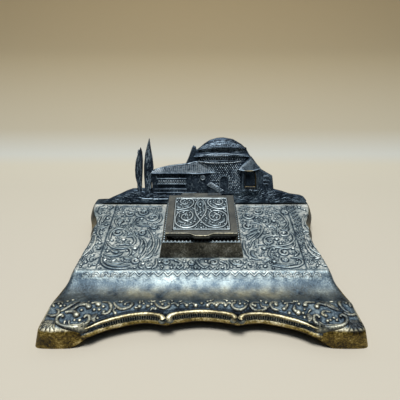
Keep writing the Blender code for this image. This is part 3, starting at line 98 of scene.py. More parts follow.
# Right half of the skirt's outline, from the middle of the front to the middle of the rear, in
# shares of the half width and the half depth, and the width's shares at its three sharp corners.
OUTLINE_SHARES = (
    (0.000, -0.801), (0.136, -0.821), (0.230, -0.852), (0.346, -0.827), (0.450, -0.845),
    (0.565, -0.889), (0.639, -0.930), (0.702, -0.975), (0.817, -0.998), (0.935, -1.000),
    (0.988, -0.985), (1.000, -0.935), (0.995, -0.850), (0.990, -0.775), (0.980, -0.662),
    (0.955, -0.549), (0.925, -0.394), (0.907, -0.197), (0.901, -0.113), (0.880, 0.056), (0.878, 0.197),
    (0.897, 0.324), (0.886, 0.401), (0.903, 0.486), (0.931, 0.570), (0.955, 0.676), (0.963, 0.790),
    (0.957, 0.880), (0.930, 0.945), (0.830, 0.962), (0.628, 0.960), (0.314, 0.958), (0.000, 0.958),
)
SHARP_CORNER_SHARES = (0.230, 0.901, 0.897)
FRONT_CORNER_SHARES = (0.988, -0.985)
REAR_CORNER_SHARES = (0.930, 0.945)

# The skirt's section from the plate's edge down: how far out of the shoulder line it stands,
# and the height, along the arched front and elsewhere. Elsewhere the heights above the shoulder
# are shares of the way up to the plate.
FRONT_SECTION = (
    (-4.6, 15.25), (-4.2, 15.4), (-3.6, 15.7), (-2.9, 15.8), (-2.3, 15.7), (-2, 15.3),
    (-2.2, 14.8), (-2.8, 14.3), (-3.2, 13.6), (-3.2, 12.5), (-2.8, 11.4), (-1.9, 10.5),
    (-0.9, 9.9), (-0.2, 9.5), (0.2, 9), (0.3, 8.4), (0, 7.8), (-0.5, 7.3), (-0.6, 0),
)
BEVEL_SHARES = (
    (-5.5, 1), (-4, 1), (-3.4, 0.97), (-2.6, 0.84), (-1.6, 0.62), (-0.8, 0.35),
    (-0.2, 0.12), (0, 0),
)
VALLEY_SECTION = (
    (-4.6, 15.25), (-4, 15.2), (-3.4, 15), (-2.9, 14.5), (-2.5, 13.7), (-2.2, 12.8),
    (-1.8, 11.8), (-1.2, 10.8), (-0.6, 10), (-0.1, 9.4), (0.2, 8.8), (0.2, 8.2), (-0.4, 7.3),
    (-0.6, 0),
)
VALLEY_X = 21.5  # where the arched front's bars meet
VALLEY_HALF_WIDTH = 1.6
SECTION_ROWS = 26


# Meshes
def new_mesh(name, points, faces, wear=None):
    """An object of points in millimetres, smooth but for its sharp edges."""
    mesh = bpy.data.meshes.new(name)
    mesh.from_pydata(np.asarray(points, float) * MM, [], faces)
    mesh.validate()
    if wear is not None:
        store(mesh, "wear", wear)
    mesh.shade_smooth()
    mesh.set_sharp_from_angle(angle=SHARP_EDGE)
    obj = bpy.data.objects.new(name, mesh)
    bpy.context.scene.collection.objects.link(obj)
    return obj


def store(mesh, name, values):
    """Keeps a value for each point, or one for all, which the materials read."""
    layer = mesh.attributes.get(name) or mesh.attributes.new(name, "FLOAT", "POINT")
    layer.data.foreach_set("value", np.broadcast_to(values, len(mesh.vertices)).astype(np.float32))


def tint(piece, gilt=0.0, stain_and_reflection=0.0):
    """Stores how gilt and how stained a piece is; on the plate the stain also holds a painted reflection."""
    store(piece.data, "gilt", gilt)
    store(piece.data, "stain_and_reflection", stain_and_reflection)


def points_of(obj):
    """An object's points in millimetres."""
    spots = np.empty(len(obj.data.vertices) * 3)
    obj.data.vertices.foreach_get("co", spots)
    return spots.reshape(-1, 3) / MM


def smooth_step(value, start, end):
    """0 up to start and 1 from end on, with a smooth rise between them."""
    t = np.clip((np.asarray(value, float) - start) / (end - start), 0.0, 1.0)
    return t * t * (3 - 2 * t)


def bell(value, middle, width):
    """1 at the middle, falling off on both sides."""
    return np.exp(-((value - middle) / width) ** 2)


def curve_through(knots, spacing):
    """Points along a Catmull-Rom curve through the knots, about evenly spaced, with both ends."""
    knots = np.asarray(knots, float)
    padded = np.vstack([2 * knots[0] - knots[1], knots, 2 * knots[-1] - knots[-2]])
    fine = []
    for before, start, end, after in zip(padded, padded[1:], padded[2:], padded[3:]):
        t = np.linspace(0.0, 1.0, 12, endpoint=False)[:, None]
        fine.append(
            start
            + (end - before) * t / 2
            + (2 * before - 5 * start + 4 * end - after) * t**2 / 2
            + (3 * start - before - 3 * end + after) * t**3 / 2
        )
    return evenly(np.vstack([*fine, knots[-1:]]), spacing)


def evenly(points, spacing=None, count=None):
    """The same line with evenly spaced points."""
    points = np.asarray(points, float)
    steps = np.linalg.norm(np.diff(points, axis=0), axis=1)
    along = np.concatenate([[0.0], np.cumsum(steps)])
    count = count or max(2, round(along[-1] / spacing) + 1)
    at = np.linspace(0.0, along[-1], count)
    return np.column_stack([np.interp(at, along, column) for column in points.T])


def grid_faces(rows, columns, wrap=False):
    """Quads between rows of equally many points."""
    across = columns if wrap else columns - 1
    faces = []
    for row in range(rows - 1):
        start = row * columns
        for k in range(across):
            after = (k + 1) % columns
            faces.append((start + k, start + after, start + columns + after, start + columns + k))
    return faces


def grid_rim(rows, columns):
    """The points round a grid's edge, anticlockwise from the first."""
    last = (rows - 1) * columns
    end = last + columns - 1
    near = [*range(columns - 1), *range(columns - 1, end, columns)]
    return near + [*range(end, last, -1), *range(last, 0, -columns)]


def joined_rims(upper, lower):
    """Quads between two equally long closed rows of points."""
    return [(upper[k], upper[k - 1], lower[k - 1], lower[k]) for k in (*range(1, len(upper)), 0)]


def round_points(angles, radius=1.0, middle=(0.0, 0.0)):
    """Points at angles round a middle."""
    return np.column_stack([middle[0] + radius * np.cos(angles), middle[1] + radius * np.sin(angles)])


# Base plate
def plate_outline():
    """The closed outline of the skirt, anticlockwise from the middle of the front."""
    right = [((x * HALF_WIDTH, y * HALF_DEPTH), x in SHARP_CORNER_SHARES) for x, y in OUTLINE_SHARES]
    left = [((-x, y), corner) for (x, y), corner in reversed(right[1:-1])]
    loop = right + left
    corners = [k for k, (_, corner) in enumerate(loop) if corner]
    stretches = []
    for start, end in zip(corners, [*corners[1:], corners[0] + len(loop)]):
        knots = [loop[k % len(loop)][0] for k in range(start, end + 1)]
        stretches.append(curve_through(knots, OUTLINE_SPACING)[:-1])
    return np.vstack(stretches)


def blurred(values, radius, closed=True):
    """Values averaged along a loop, over a bell-shaped window."""
    reach = int(radius * 3)
    weights = np.exp(-0.5 * (np.arange(-reach, reach + 1) / radius) ** 2)
    weights /= weights.sum()
    mode = "wrap" if closed else "edge"
    padded = np.pad(values, ((reach, reach), (0, 0)), mode=mode)
    return np.column_stack([np.convolve(column, weights, "valid") for column in padded.T])


def edge_points():
    """Points round the outline with their outward directions, in equal numbers along the front
    and the rear, and along the sides, starting at the front left corner."""
    outline = plate_outline()
    smooth = blurred(outline, 3.0 / OUTLINE_SPACING)
    along = np.roll(smooth, -1, axis=0) - np.roll(smooth, 1, axis=0)
    outward = np.column_stack([along[:, 1], -along[:, 0]])
    outward /= np.linalg.norm(outward, axis=1)[:, None]
    both = np.hstack([outline, outward])
    size = np.array([HALF_WIDTH, HALF_DEPTH])
    corners = []
    for x_side, shares in ((-1, FRONT_CORNER_SHARES), (1, FRONT_CORNER_SHARES),
                           (1, REAR_CORNER_SHARES), (-1, REAR_CORNER_SHARES)):
        corner = np.array([x_side, 1]) * shares * size
        corners.append(int(np.argmin(np.linalg.norm(outline - corner, axis=1))))
    sides = []
    for start, end, count in zip(corners, corners[1:] + corners[:1], (GRID_X, GRID_Y) * 2):
        stretch = np.roll(both, -start, axis=0)[: (end - start) % len(both) + 1]
        sides.append(evenly(stretch, count=count + 1)[:-1])
    ring = np.vstack(sides)
    ring[:, 2:] /= np.linalg.norm(ring[:, 2:], axis=1)[:, None]
    return ring[:, :2], ring[:, 2:]


EDGE, OUTWARD = edge_points()


def height_profile():
    """Heights of the plate, the trough and the apron along Y, with their edges rounded."""
    y = np.arange(-90.0, 90.0, 0.1)
    rear = ((y - TROUGH_MIDDLE) / (TROUGH_REAR - TROUGH_MIDDLE)) ** 2
    front = ((y - TROUGH_MIDDLE) / (TROUGH_FRONT - TROUGH_MIDDLE)) ** 2
    z = np.where(y > TROUGH_MIDDLE, TROUGH_BOTTOM + (PLATE_TOP - TROUGH_BOTTOM) * rear,
                 TROUGH_BOTTOM + (APRON_REAR_HEIGHT - TROUGH_BOTTOM) * front)
    z = np.where(y > TROUGH_REAR, PLATE_TOP, z)
    fall = (APRON_REAR_HEIGHT - APRON_FRONT_HEIGHT) / (TROUGH_FRONT + HALF_DEPTH)
    z = np.where(y < TROUGH_FRONT, APRON_REAR_HEIGHT + (y - TROUGH_FRONT) * fall, z)
    return y, blurred(z[:, None], 6.0, closed=False)[:, 0]


PROFILE = height_profile()


def top_height(y):
    """The height of the plate's top along Y."""
    return np.interp(y, *PROFILE)


def foot_flare(spots, height):
    """How far the skirt spreads at a foot, below its shoulder."""
    x, y = spots.T
    below = np.maximum(0.0, 1.0 - height / SHOULDER_HEIGHT)
    beside = smooth_step(abs(y), FOOT_INNER_Y - FOOT_SLOPE, FOOT_INNER_Y + FOOT_SLOPE)
    outside = smooth_step(abs(x), FOOT_INNER_X, HALF_WIDTH * 0.95)
    behind = smooth_step(y, FOOT_INNER_Y, HALF_DEPTH * 0.93)
    sideways = np.sign(x) * np.where(y > 0, 0.35, 1.0) * FOOT_FLARE * below * beside * outside
    return np.column_stack([sideways, REAR_FOOT_FLARE * below * behind])


def front_share(spots):
    """1 along the arched front, and 0 at the feet, the sides and the rear."""
    x, y = spots.T
    fade = smooth_step(abs(x), MOULDING_HALF_WIDTH, MOULDING_HALF_WIDTH + MOULDING_FADE)
    return np.where(y > TROUGH_FRONT, 0.0, 1.0 - fade)


def patch(ring):
    """A grid over the plate whose edges are the ring's four sides."""
    front, right = ring[: GRID_X + 1], ring[GRID_X : GRID_X + GRID_Y + 1]
    rear = ring[GRID_X + GRID_Y : 2 * GRID_X + GRID_Y + 1][::-1]
    left = np.vstack([ring[2 * GRID_X + GRID_Y :], ring[:1]])[::-1]
    u = np.linspace(0, 1, GRID_X + 1)[None, :, None]
    v = np.linspace(0, 1, GRID_Y + 1)[:, None, None]
    across = (1 - v) * front[None] + v * rear[None]
    along = (1 - u) * left[:, None] + u * right[:, None]
    corners = (1 - v) * ((1 - u) * front[0] + u * front[-1]) + v * ((1 - u) * rear[0] + u * rear[-1])
    return across + along - corners


def section_rows():
    """The skirt's sections at a bar, at a valley and elsewhere, with as many points each."""
    wall = [(0.0, SHOULDER_HEIGHT), (0.0, SIDE_ARCH_HEIGHT), (0.0, 0.0)]
    bevel = [(out, SHOULDER_HEIGHT + share * (PLATE_TOP - SHOULDER_HEIGHT)) for out, share in BEVEL_SHARES]
    return [evenly(rows, count=SECTION_ROWS) for rows in (FRONT_SECTION, VALLEY_SECTION, bevel + wall[1:])]


def plate_body():
    """The plate's outer shape: the top as a grid, then rows down the skirt to the floor."""
    share = front_share(EDGE)[:, None]
    tops = top_height((EDGE - OUTWARD * 5.0)[:, 1])[:, None]
    rise = (tops - SHOULDER_HEIGHT) / (PLATE_TOP - SHOULDER_HEIGHT)
    valley = 1 - smooth_step(abs(abs(EDGE[:, :1]) - VALLEY_X), VALLEY_HALF_WIDTH, 2 * VALLEY_HALF_WIDTH)
    rows = []
    for bar, hollow, (out, z) in zip(*section_rows()):
        front_out, front_z = ((1 - valley) * bar[k] + valley * hollow[k] for k in (0, 1))
        above = SHOULDER_HEIGHT + (z - SHOULDER_HEIGHT) * rise if z > SHOULDER_HEIGHT else z
        height = share * front_z + (1 - share) * above
        spots = EDGE + OUTWARD * (share * front_out + (1 - share) * out)
        rows.append(np.hstack([spots + foot_flare(EDGE, height[:, 0]), height]))
    ring = blurred(rows[0][:, :2], 1.5)
    grid = patch(ring).reshape(-1, 2)
    top = np.column_stack([grid, top_height(grid[:, 1])])
    faces = grid_faces(GRID_Y + 1, GRID_X + 1)
    rings = [grid_rim(GRID_Y + 1, GRID_X + 1)]
    size = len(rings[0])
    for start in range(len(top), len(top) + (len(rows) - 1) * size, size):
        rings.append(list(range(start, start + size)))
    for upper, lower in zip(rings, rings[1:]):
        faces += joined_rims(upper, lower)
    faces.append(tuple(reversed(rings[-1])))
    return new_mesh("base_plate_cast", np.vstack([top, *rows[1:]]), faces)


def block(name, outline, axis, start, end):
    """An outline of (a, b) points drawn out along X, Y or Z."""
    points = []
    for along in (start, end):
        for a, b in outline:
            points.append({"X": (along, a, b), "Y": (a, along, b), "Z": (a, b, along)}[axis])
    count = len(outline)
    faces = [(k, (k + 1) % count, count + (k + 1) % count, count + k) for k in range(count)]
    faces += [tuple(reversed(range(count))), tuple(range(count, 2 * count))]
    return closed(name, points, faces)


def closed(name, points, faces):
    """A cutter with its faces pointing out."""
    obj = new_mesh(name, points, faces)
    bm = bmesh.new()
    bm.from_mesh(obj.data)
    bmesh.ops.recalc_face_normals(bm, faces=bm.faces)
    bm.to_mesh(obj.data)
    bm.free()
    return obj


def cut(target, *others):
    """Takes the cutters out of the target, and removes them."""
    for other in others:
        modifier = target.modifiers.new("cut", "BOOLEAN")
        modifier.object = other
        modifier.operation = "DIFFERENCE"
        modifier.solver = "MANIFOLD"
        graph = bpy.context.evaluated_depsgraph_get()
        mesh = bpy.data.meshes.new_from_object(target.evaluated_get(graph))
        target.modifiers.clear()
        target.data = mesh
        bpy.data.objects.remove(other, do_unlink=True)
    return target


def foot_gap(half_span, height):
    """The outline of the gap between two feet."""
    reach = 2.0 * FOOT_SLOPE / height
    return (
        (-half_span - reach, -2.0),
        (half_span + reach, -2.0),
        (half_span - FOOT_SLOPE, height),
        (FOOT_SLOPE - half_span, height),
    )


def plate_hollow():
    """The hollow under the plate, with the corners left solid as toes."""
    x, y = (EDGE[::6] - OUTWARD[::6] * SKIRT_THICKNESS).T
    for limit, side in ((FRONT_TOE, y < 0), (REAR_TOE, y > 0)):
        over = np.where(side, np.maximum(0.0, abs(x) + abs(y) - limit) / 2, 0.0)
        x, y = x - np.sign(x) * over, y - np.sign(y) * over
    depth_rows = np.linspace(0.0, 1.0, 40)
    count = len(x)
    points = [(a, b, -2.0) for a, b in zip(x, y)]
    for share in depth_rows[:-1]:
        scale = 1 - share
        points += [(a * scale, b * scale, top_height(b * scale) - PLATE_THICKNESS) for a, b in zip(x, y)]
    faces = grid_faces(len(depth_rows), count, wrap=True)
    last = len(points) - count
    points.append((0.0, 0.0, PLATE_TOP - PLATE_THICKNESS))
    faces += [(last + k, last + (k + 1) % count, len(points) - 1) for k in range(count)]
    faces.append(tuple(reversed(range(count))))
    return closed("hollow", points, faces)


def rounded_rectangle(left, right, front, rear, radius):
    """Points round a rectangle with round corners."""
    points = []
    for x, y, quarter in ((right, rear, 0), (left, rear, 1), (left, front, 2), (right, front, 3)):
        middle = (x - math.copysign(radius, x), y + (radius if y == front else -radius))
        angles = (quarter + np.linspace(0.0, 1.0, 9)) * math.pi / 2
        points += [tuple(spot) for spot in round_points(angles, radius, middle)]
    return points


def make_plate():
    """The plate's outer shape, less its hollow, the gaps between its feet and the box's hole."""
    plate = plate_body()
    cut(plate, plate_hollow())
    front_gap = foot_gap(FOOT_INNER_X, FRONT_ARCH_HEIGHT)
    side_gap = foot_gap(FOOT_INNER_Y, SIDE_ARCH_HEIGHT)
    reach = HALF_WIDTH + CUTTER_REACH
    cut(plate, block("front_gap", front_gap, "Y", -reach, reach))
    cut(plate, block("side_gap", side_gap, "X", -reach, reach))
    hole = rounded_rectangle(
        BOX_LOW.x + BOX_HOLE_SIDE, BOX_HIGH.x - BOX_HOLE_SIDE,
        BOX_LOW.y + BOX_HOLE_FRONT, BOX_HIGH.y - BOX_HOLE_REAR, BOX_HOLE_RADIUS,
    )
    cut(plate, block("box_hole", hole, "Z", BOX_HOLE_FOOT, PLATE_TOP + CUTTER_REACH))
    plate.data.shade_smooth()
    plate.data.set_sharp_from_angle(angle=SHARP_EDGE)
    return plate


# Raised ornament
SCROLL_TURNS = 1.15


class Carving:
    """Raised ornament on a surface, as closed ridges and domes that make one mesh."""

    def __init__(self, surface, sink=0.35):
        self.surface = surface
        self.sink = sink
        self.points, self.wear, self.faces, self.traces = [], [], [], []
        self.count = 0

    def add(self, points, wear, faces):
        """Takes in a closed form."""
        self.points.append(np.asarray(points, float))
        self.wear.append(np.asarray(wear, float))
        self.faces += [tuple(self.count + k for k in face) for face in faces]
        self.count += len(points)

    def ridge(self, line, half_widths, height, worn=1.0, crease=0.0):
        """A half-round ridge along a line. A crease lowers its middle, as in a leaf."""
        line = np.asarray(line, float)
        half_widths = np.broadcast_to(half_widths, len(line))
        ahead = np.gradient(line, axis=0)
        ahead /= np.linalg.norm(ahead, axis=1)[:, None] + 1e-9
        side = np.column_stack([-ahead[:, 1], ahead[:, 0]])
        angles = np.linspace(0.0, math.pi, 7)
        across, up = np.cos(angles), np.sin(angles)
        up = up - crease * (abs(across) < 0.1)
        spots = line[:, None] + side[:, None] * (half_widths[:, None] * across)[..., None]
        fullness = (half_widths / half_widths.max())[:, None] ** 0.7
        base = self.surface(spots.reshape(-1, 2)).reshape(len(line), -1)
        z = base + height * up * fullness
        z[:, [0, -1]] -= self.sink
        # Brightest along the worn crest and dark at its feet; one flank is painted lighter than the other, as
        # a lit side.
        crest = np.sin(angles) ** 1.5 * (0.85 + 0.25 * across)
        wear = np.broadcast_to(crest * worn * (1 - crease * (abs(across) < 0.1)), z.shape)
        count = z.size
        faces = grid_faces(len(line), len(angles), wrap=True)
        faces += [tuple(reversed(range(len(angles)))), tuple(range(count - len(angles), count))]
        self.add(np.dstack([spots, z]).reshape(-1, 3), wear.ravel(), faces)
        self.traces.append(np.column_stack([line, half_widths]))

    def stem(self, knots, width=0.95, height=0.65, worn=0.85, ends=0.35):
        """A ridge through knots, thinner at its ends."""
        line = curve_through(knots, 0.55)
        t = np.linspace(0.0, 1.0, len(line))
        swell = ends + (1 - ends) * np.sin(math.pi * t) ** 0.5
        self.ridge(line, width * swell, height, worn)

    def leaf(self, knots, width=1.5, height=0.75, worn=0.9, crease=0.3, bluntness=0.8):
        """A leaf through knots, widest a third of the way along, with a crease in its middle."""
        line = curve_through(knots, 0.5)
        t = np.linspace(0.0, 1.0, len(line))
        swell = 0.12 + 0.88 * np.sin(math.pi * t**bluntness) ** 0.8
        self.ridge(line, width * swell, height, worn, crease)

    def comma(self, x, y, turn, length=4.0, width=1.0, hand=1, height=0.9):
        """A round head with a tail that leaves it towards turn degrees and bends round."""
        t = np.linspace(0.0, 1.0, max(6, int(length / 0.5)))
        angles = np.radians(turn) + hand * t * 1.3
        steps = round_points(angles) * length / len(t)
        line = np.array([x, y]) + np.cumsum(steps, axis=0) - steps[0] * 1.5
        head = np.sqrt(np.clip(t / 0.12, 0.05, 1.0))
        self.ridge(line, 1.15 * width * head * (1.0 - 0.85 * t) ** 0.8, height, 0.9)

    def berry(self, x, y, radius=1.0, height=None, worn=0.82):
        """A low dome."""
        height = height or 0.75 * radius
        angles = np.linspace(0.0, 2 * math.pi, 10, endpoint=False)
        points, wear = [], []
        for reach, rise in ((1.0, None), (0.86, 0.5), (0.55, 0.85)):
            spots = round_points(angles, radius * reach, (x, y))
            level = self.surface(spots)
            z = level - self.sink if rise is None else level + rise * height
            points.append(np.column_stack([spots, z]))
            wear += [0.0 if rise is None else rise * worn] * len(angles)
        top = [(x, y, float(self.surface(np.array([[x, y]]))[0]) + height)]
        count = len(angles)
        faces = grid_faces(3, count, wrap=True)
        faces += [(2 * count + k, 2 * count + (k + 1) % count, 3 * count) for k in range(count)]
        faces.append(tuple(reversed(range(count))))
        self.add(np.vstack([*points, top]), [*wear, worn], faces)
        self.traces.append(np.array([[x, y, radius]]))

    def scroll(self, x, y, radius, start, hand):
        """A spiral from its outer end at start degrees inwards, with a berry for its eye."""
        t = np.linspace(0.0, 1.0, max(10, int(radius * SCROLL_TURNS * 8)))
        angles = np.radians(start + hand * 360 * SCROLL_TURNS * t)
        self.ridge(evenly(round_points(angles, radius * (1 - 0.72 * t**1.2), (x, y)), 0.5), 1.0, 0.65, 0.85)
        self.berry(x, y, max(0.7, radius * 0.26))

    def hook(self, radius, *knots):
        """A berry with a tail through the knots."""
        line = curve_through(knots, 0.5)
        t = np.linspace(0.0, 1.0, len(line))
        self.ridge(line, radius * 0.85 * (1.0 - 0.7 * t) ** 0.7, 0.65 * radius, 0.76)
        self.berry(*knots[0], radius, worn=0.72)

    def tube(self, line, radii, worn=1.0, sides=8):
        """A round bar through points in space."""
        line = np.asarray(line, float)
        radii = np.broadcast_to(radii, len(line))
        ahead = np.gradient(line, axis=0)
        ahead /= np.linalg.norm(ahead, axis=1)[:, None]
        side = np.cross(ahead, (0.0, 0.3, 1.0))
        side /= np.linalg.norm(side, axis=1)[:, None]
        up = np.cross(side, ahead)
        angles = np.linspace(0.0, 2 * math.pi, sides, endpoint=False)
        across, above = np.cos(angles)[:, None], np.sin(angles)[:, None]
        spots = line[:, None] + (side[:, None] * across + up[:, None] * above) * radii[:, None, None]
        # Lighter on top and darker underneath: painted light from above and painted shade, over the bar's
        # wear.
        wear = np.broadcast_to(worn * (0.62 + 0.38 * np.sin(angles)), spots.shape[:2])
        faces = grid_faces(len(line), sides, wrap=True)
        count = len(line) * sides
        faces += [tuple(reversed(range(sides))), tuple(range(count - sides, count))]
        self.add(spots.reshape(-1, 3), wear.ravel(), faces)

    def fill(self, inside, spacing, clear, seed, scale=1.0):
        """Small leaves and berries on what ground is left, in places that depend on seed."""
        rng = np.random.default_rng(seed)
        tree = TraceTree(self.traces)
        for x, y in inside(rng, spacing):
            if tree.clearance(x, y) < clear:
                continue
            if rng.random() < 0.5:
                self.berry(x, y, rng.uniform(0.55, 0.8) * scale, worn=0.7)
            else:
                length = rng.uniform(2.0, 3.0) * scale
                turn, width = rng.uniform(0, 360), rng.uniform(0.55, 0.7) * scale
                self.comma(x, y, turn, length, width, 1, 0.55 * scale)

    def made(self, name):
        """The ridges and domes as one object."""
        obj = new_mesh(name, np.vstack(self.points), self.faces, np.concatenate(self.wear))
        obj.data.set_sharp_from_angle(angle=math.radians(75.0))
        return obj


class TraceTree:
    """Finds how far a spot lies from the nearest ridge or dome."""

    def __init__(self, traces):
        self.rows = np.vstack(traces)
        self.tree = KDTree(len(self.rows))
        for k, (x, y, _) in enumerate(self.rows):
            self.tree.insert((x, y, 0.0), k)
        self.tree.balance()

    def clearance(self, x, y):
        _, k, away = self.tree.find((x, y, 0.0))
        return away - self.rows[k, 2]

    def clearances(self, xs, ys):
        """The same for many spots, and 0 on a ridge or dome."""
        return np.array([max(0.0, self.clearance(x, y)) for x, y in zip(xs, ys)])


# Scrollwork of the two panels, seen from above. Scrolls: x, y, radius, start angle and hand.
# Berries: x, y and radius. Commas: x, y, direction of the tail, length, width and hand.
LEFT_SCROLLS = (
    (-56.5, 41, 3.4, 170, 1), (-46, 43.5, 3.9, 170, 1), (-38.3, 36, 5, 190, 1),
    (-63.3, 29.3, 2.4, 20, 1), (-62.2, 15.8, 3.5, 150, 1), (-43.8, 15.6, 3, 60, 1),
    (-44.5, -16.3, 2.8, 90, 1), (-35.8, 23.2, 2.5, 200, 1), (-35.4, -21.3, 2.2, 90, -1),
)
LEFT_BERRIES = (
    (-57, 31, 1.2), (-46.8, 33.6, 1.7), (-43.6, 24.6, 0.9), (-35.2, 15, 1.2), (-54.2, 20, 0.8),
    (-51, 21.2, 0.9), (-65.3, 6.6, 1.3), (-56.6, 7, 2), (-59.7, 1.1, 1.1), (-66, -5.7, 1.3),
    (-52.3, -5.3, 0.9), (-47, -3, 2.1), (-47.6, -9, 1.1), (-43.2, -12.3, 1),
    (-39.4, -19.2, 1.3), (-35.2, -15.3, 0.9), (-31, -22.4, 0.9), (-44.5, -22.9, 1),
    (-67.2, 50.4, 1), (-63.6, 49.2, 0.8), (-52.6, 47.2, 0.8), (-48, 48.6, 0.8), (-50.8, 3.2, 1.3),
)
LEFT_COMMAS = (
    (-64.2, 38.6, 235, 4.6, 1.1, 1), (-58.4, -6.6, 200, 6.5, 1.8, -1), (-65.2, -14.3, 200, 3.4, 1.5, 1),
    (-58.6, -14.8, 190, 5, 1.5, 1), (-62.6, 24.5, 60, 3, 0.7, 1), (-52, 38.6, 30, 3.4, 0.8, -1),
    (-42, 29, 160, 3.6, 0.8, 1), (-57.5, 26, 20, 3, 0.8, 1), (-48.6, 28.6, 200, 2.8, 0.7, -1),
)
LEFT_STEMS = (
    ((-61.5, 40.5), (-65.4, 36.5), (-66.8, 31.5), (-65.4, 26.5)),
    ((-52.6, 30), (-51.9, 34), (-49.6, 36.6), (-46, 37), (-43.6, 34.8)),
    ((-33.4, 41.2), (-31.8, 36), (-32.4, 30.8), (-36, 27.6)),
    ((-57.5, 20), (-63, 21), (-67, 17), (-67.4, 11), (-66.8, 7.5)),
    ((-54.8, 10.6), (-51, 11), (-48.6, 7.2), (-48.4, 3.2), (-50.2, 0.6)),
    ((-59.6, 1.4), (-55, 2), (-51.6, 1)),
    ((-68.4, 4.2), (-63.2, -1.6), (-57, -3.2), (-52.6, -2.2), (-49.8, -5), (-49.6, -8.6),
     (-51.6, -12)),
    ((-67.8, -8.8), (-63.6, -11), (-58.2, -10.4), (-55.2, -8)),
    ((-39.6, 18.6), (-36.6, 12.8), (-34.4, 3.3), (-35, -4), (-38.2, -10.4)),
    ((-42.6, 8.4), (-40, 2.6), (-39.6, -4), (-41.6, -11)),
    ((-45.6, 9.8), (-43, 5.2), (-43.4, -0.4)),
    ((-68.8, -12.6), (-67.4, -18.2), (-63.2, -22.2), (-57, -24), (-48.4, -23.4)),
    ((-31.4, 8.4), (-30.9, 0), (-32.6, -8.4)), ((-41.6, -18.8), (-41.4, -22), (-38.8, -23.8)),
    ((-70, 52), (-60, 52.6), (-46, 52.2), (-33, 52.6)),
)
LEFT_LEAVES = (
    ((-47.6, 24.2), (-42.5, 24.8), (-38.6, 23.6)),
    ((-57.6, 19.6), (-54.6, 17.2), (-51.2, 14.2)),
    ((-53, 19.4), (-53.8, 16), (-54.6, 12.6)),
    ((-50.4, 18.2), (-48.4, 15.8), (-48, 13)),
    ((-66.6, -15.6), (-62.2, -19.4), (-55, -21.2), (-48.8, -20.6)),
    ((-62.8, -16.8), (-57.6, -18.4), (-52.4, -17.6)),
    ((-36.8, 8), (-36.8, 2), (-38.6, -4.4)),
    ((-44.6, 0.4), (-42.6, -3.6), (-43.2, -8.6)),
    ((-53.6, -11.6), (-51, -13.8), (-47.8, -14)),
    ((-34, -6.4), (-36, -11.4), (-40.2, -14.2)),
)
RIGHT_SCROLLS = (
    (36, 24, 4, 120, 1), (49.4, 5.4, 2.8, 150, 1), (61.4, 15.2, 4, 60, -1),
    (58, -7, 3.8, 100, 1), (57.4, -14.8, 1.9, 150, 1), (45.2, 43.8, 3.4, 10, -1),
    (37.2, 38.6, 4.6, 350, -1), (66.8, 43.4, 3, 260, 1),
)
RIGHT_BERRIES = (
    (43.5, 35.6, 1.3), (55, 39.4, 1.2), (56.4, 30.6, 1.9), (49, 30, 1.5), (55, 7.8, 2),
    (44.4, -3.2, 2.1), (64.8, -3, 1.6), (49.4, -17.2, 1.7), (42.6, -21.8, 1.4), (33.4, -13.4, 1.1),
    (32.6, -19.8, 1.1), (29, -22.6, 1.1), (57, 2.4, 1.2), (51.4, -3.4, 1.2), (43.2, 16.6, 1.3),
    (64.4, 6.8, 1.2), (40.8, -10.2, 1), (36, 10, 1), (62, 48.6, 0.8), (38, 47.6, 1),
    (52, 23, 1.1), (49.6, 15.8, 1.2), (52.6, -11, 1.1),
)
RIGHT_COMMAS = (
    (38, -19.6, 40, 5, 1.5, -1), (44, -14, 10, 5, 1.2, -1), (33.6, 30.6, 60, 4, 0.9, -1),
    (59, 24, 40, 4, 0.8, 1), (65.4, 31, 250, 5, 0.9, -1), (48.6, 37, 120, 3.4, 0.8, 1),
    (60.6, 36.4, 300, 3.4, 0.7, 1), (34.4, 1.8, 30, 3.4, 0.8, 1),
)
RIGHT_STEMS = (
    ((64.2, 18.4), (67.4, 14.2), (67.8, 8), (65, 3.6), (60.6, 1), (54.6, -0.2), (49.4, 1)),
    ((57.8, 12.2), (52, 12), (47.2, 9.8), (45.6, 5.2), (47, 1)),
    ((67.4, 6), (66.2, 0.2), (60.4, -2.8), (52.4, -1.6), (48.4, -4.6), (46.8, -10.2), (49.2, -13.4)),
    ((61.8, -13), (66.6, -13.4), (68.6, -17.8), (64.6, -21.4), (56.4, -22.6), (47.2, -20.6)),
    ((66, -4.4), (67.4, -7.8), (64.6, -11)),
    ((44.4, 26.6), (43.4, 19.6), (39.4, 13.4), (34, 7.6)),
    ((38.4, 28.2), (42.4, 28.4), (46.4, 25), (46.6, 20.6), (42.6, 12), (37, 5.6), (34.2, -1.4)),
    ((49, 35.4), (53.2, 34.4), (53, 28.4), (50, 26.2)),
    ((57.6, 43.6), (63, 41.2), (66, 34), (66.4, 27), (62.4, 21)),
    ((32.4, -3), (31.6, -8.8), (35.4, -13.6), (39.6, -15)),
    ((37.2, -2.2), (40, 1.2), (44.6, 1)),
    ((70, 52), (60, 52.6), (46, 52.2), (33, 52.6)),
    ((31, 6.4), (30.4, -2), (32.2, -9.4)),
)
RIGHT_LEAVES = (
    ((44, 21.6), (40, 20.6), (35.2, 17)),
    ((43.4, 17.6), (38.4, 15.4), (33.4, 11.6)),
    ((50.2, 24.6), (54.6, 24.2), (56.8, 20.8)),
    ((48.4, -19.4), (55.6, -20.6), (62.6, -19.6)),
    ((42, -17.8), (46, -15), (50, -13.6)),
    ((36.4, -4.6), (35.4, -9), (38, -12.6)),
    ((60, 19.8), (64.4, 19.6), (66.4, 23.6)),
    ((68, 50), (66.4, 46), (67.4, 40)),
    ((41.4, 8.6), (39.6, 3.6), (39.8, -1.8)),
    ((53.4, 17.6), (54.8, 14), (53, 10.6)),
)


def add_group(carving, scrolls=(), berries=(), commas=(), stems=(), leaves=()):
    """Adds each table's ornament."""
    for add, rows in ((carving.scroll, scrolls), (carving.berry, berries), (carving.comma, commas)):
        for row in rows:
            add(*row)
    for add, lines in ((carving.stem, stems), (carving.leaf, leaves)):
        for knots in lines:
            add(knots)


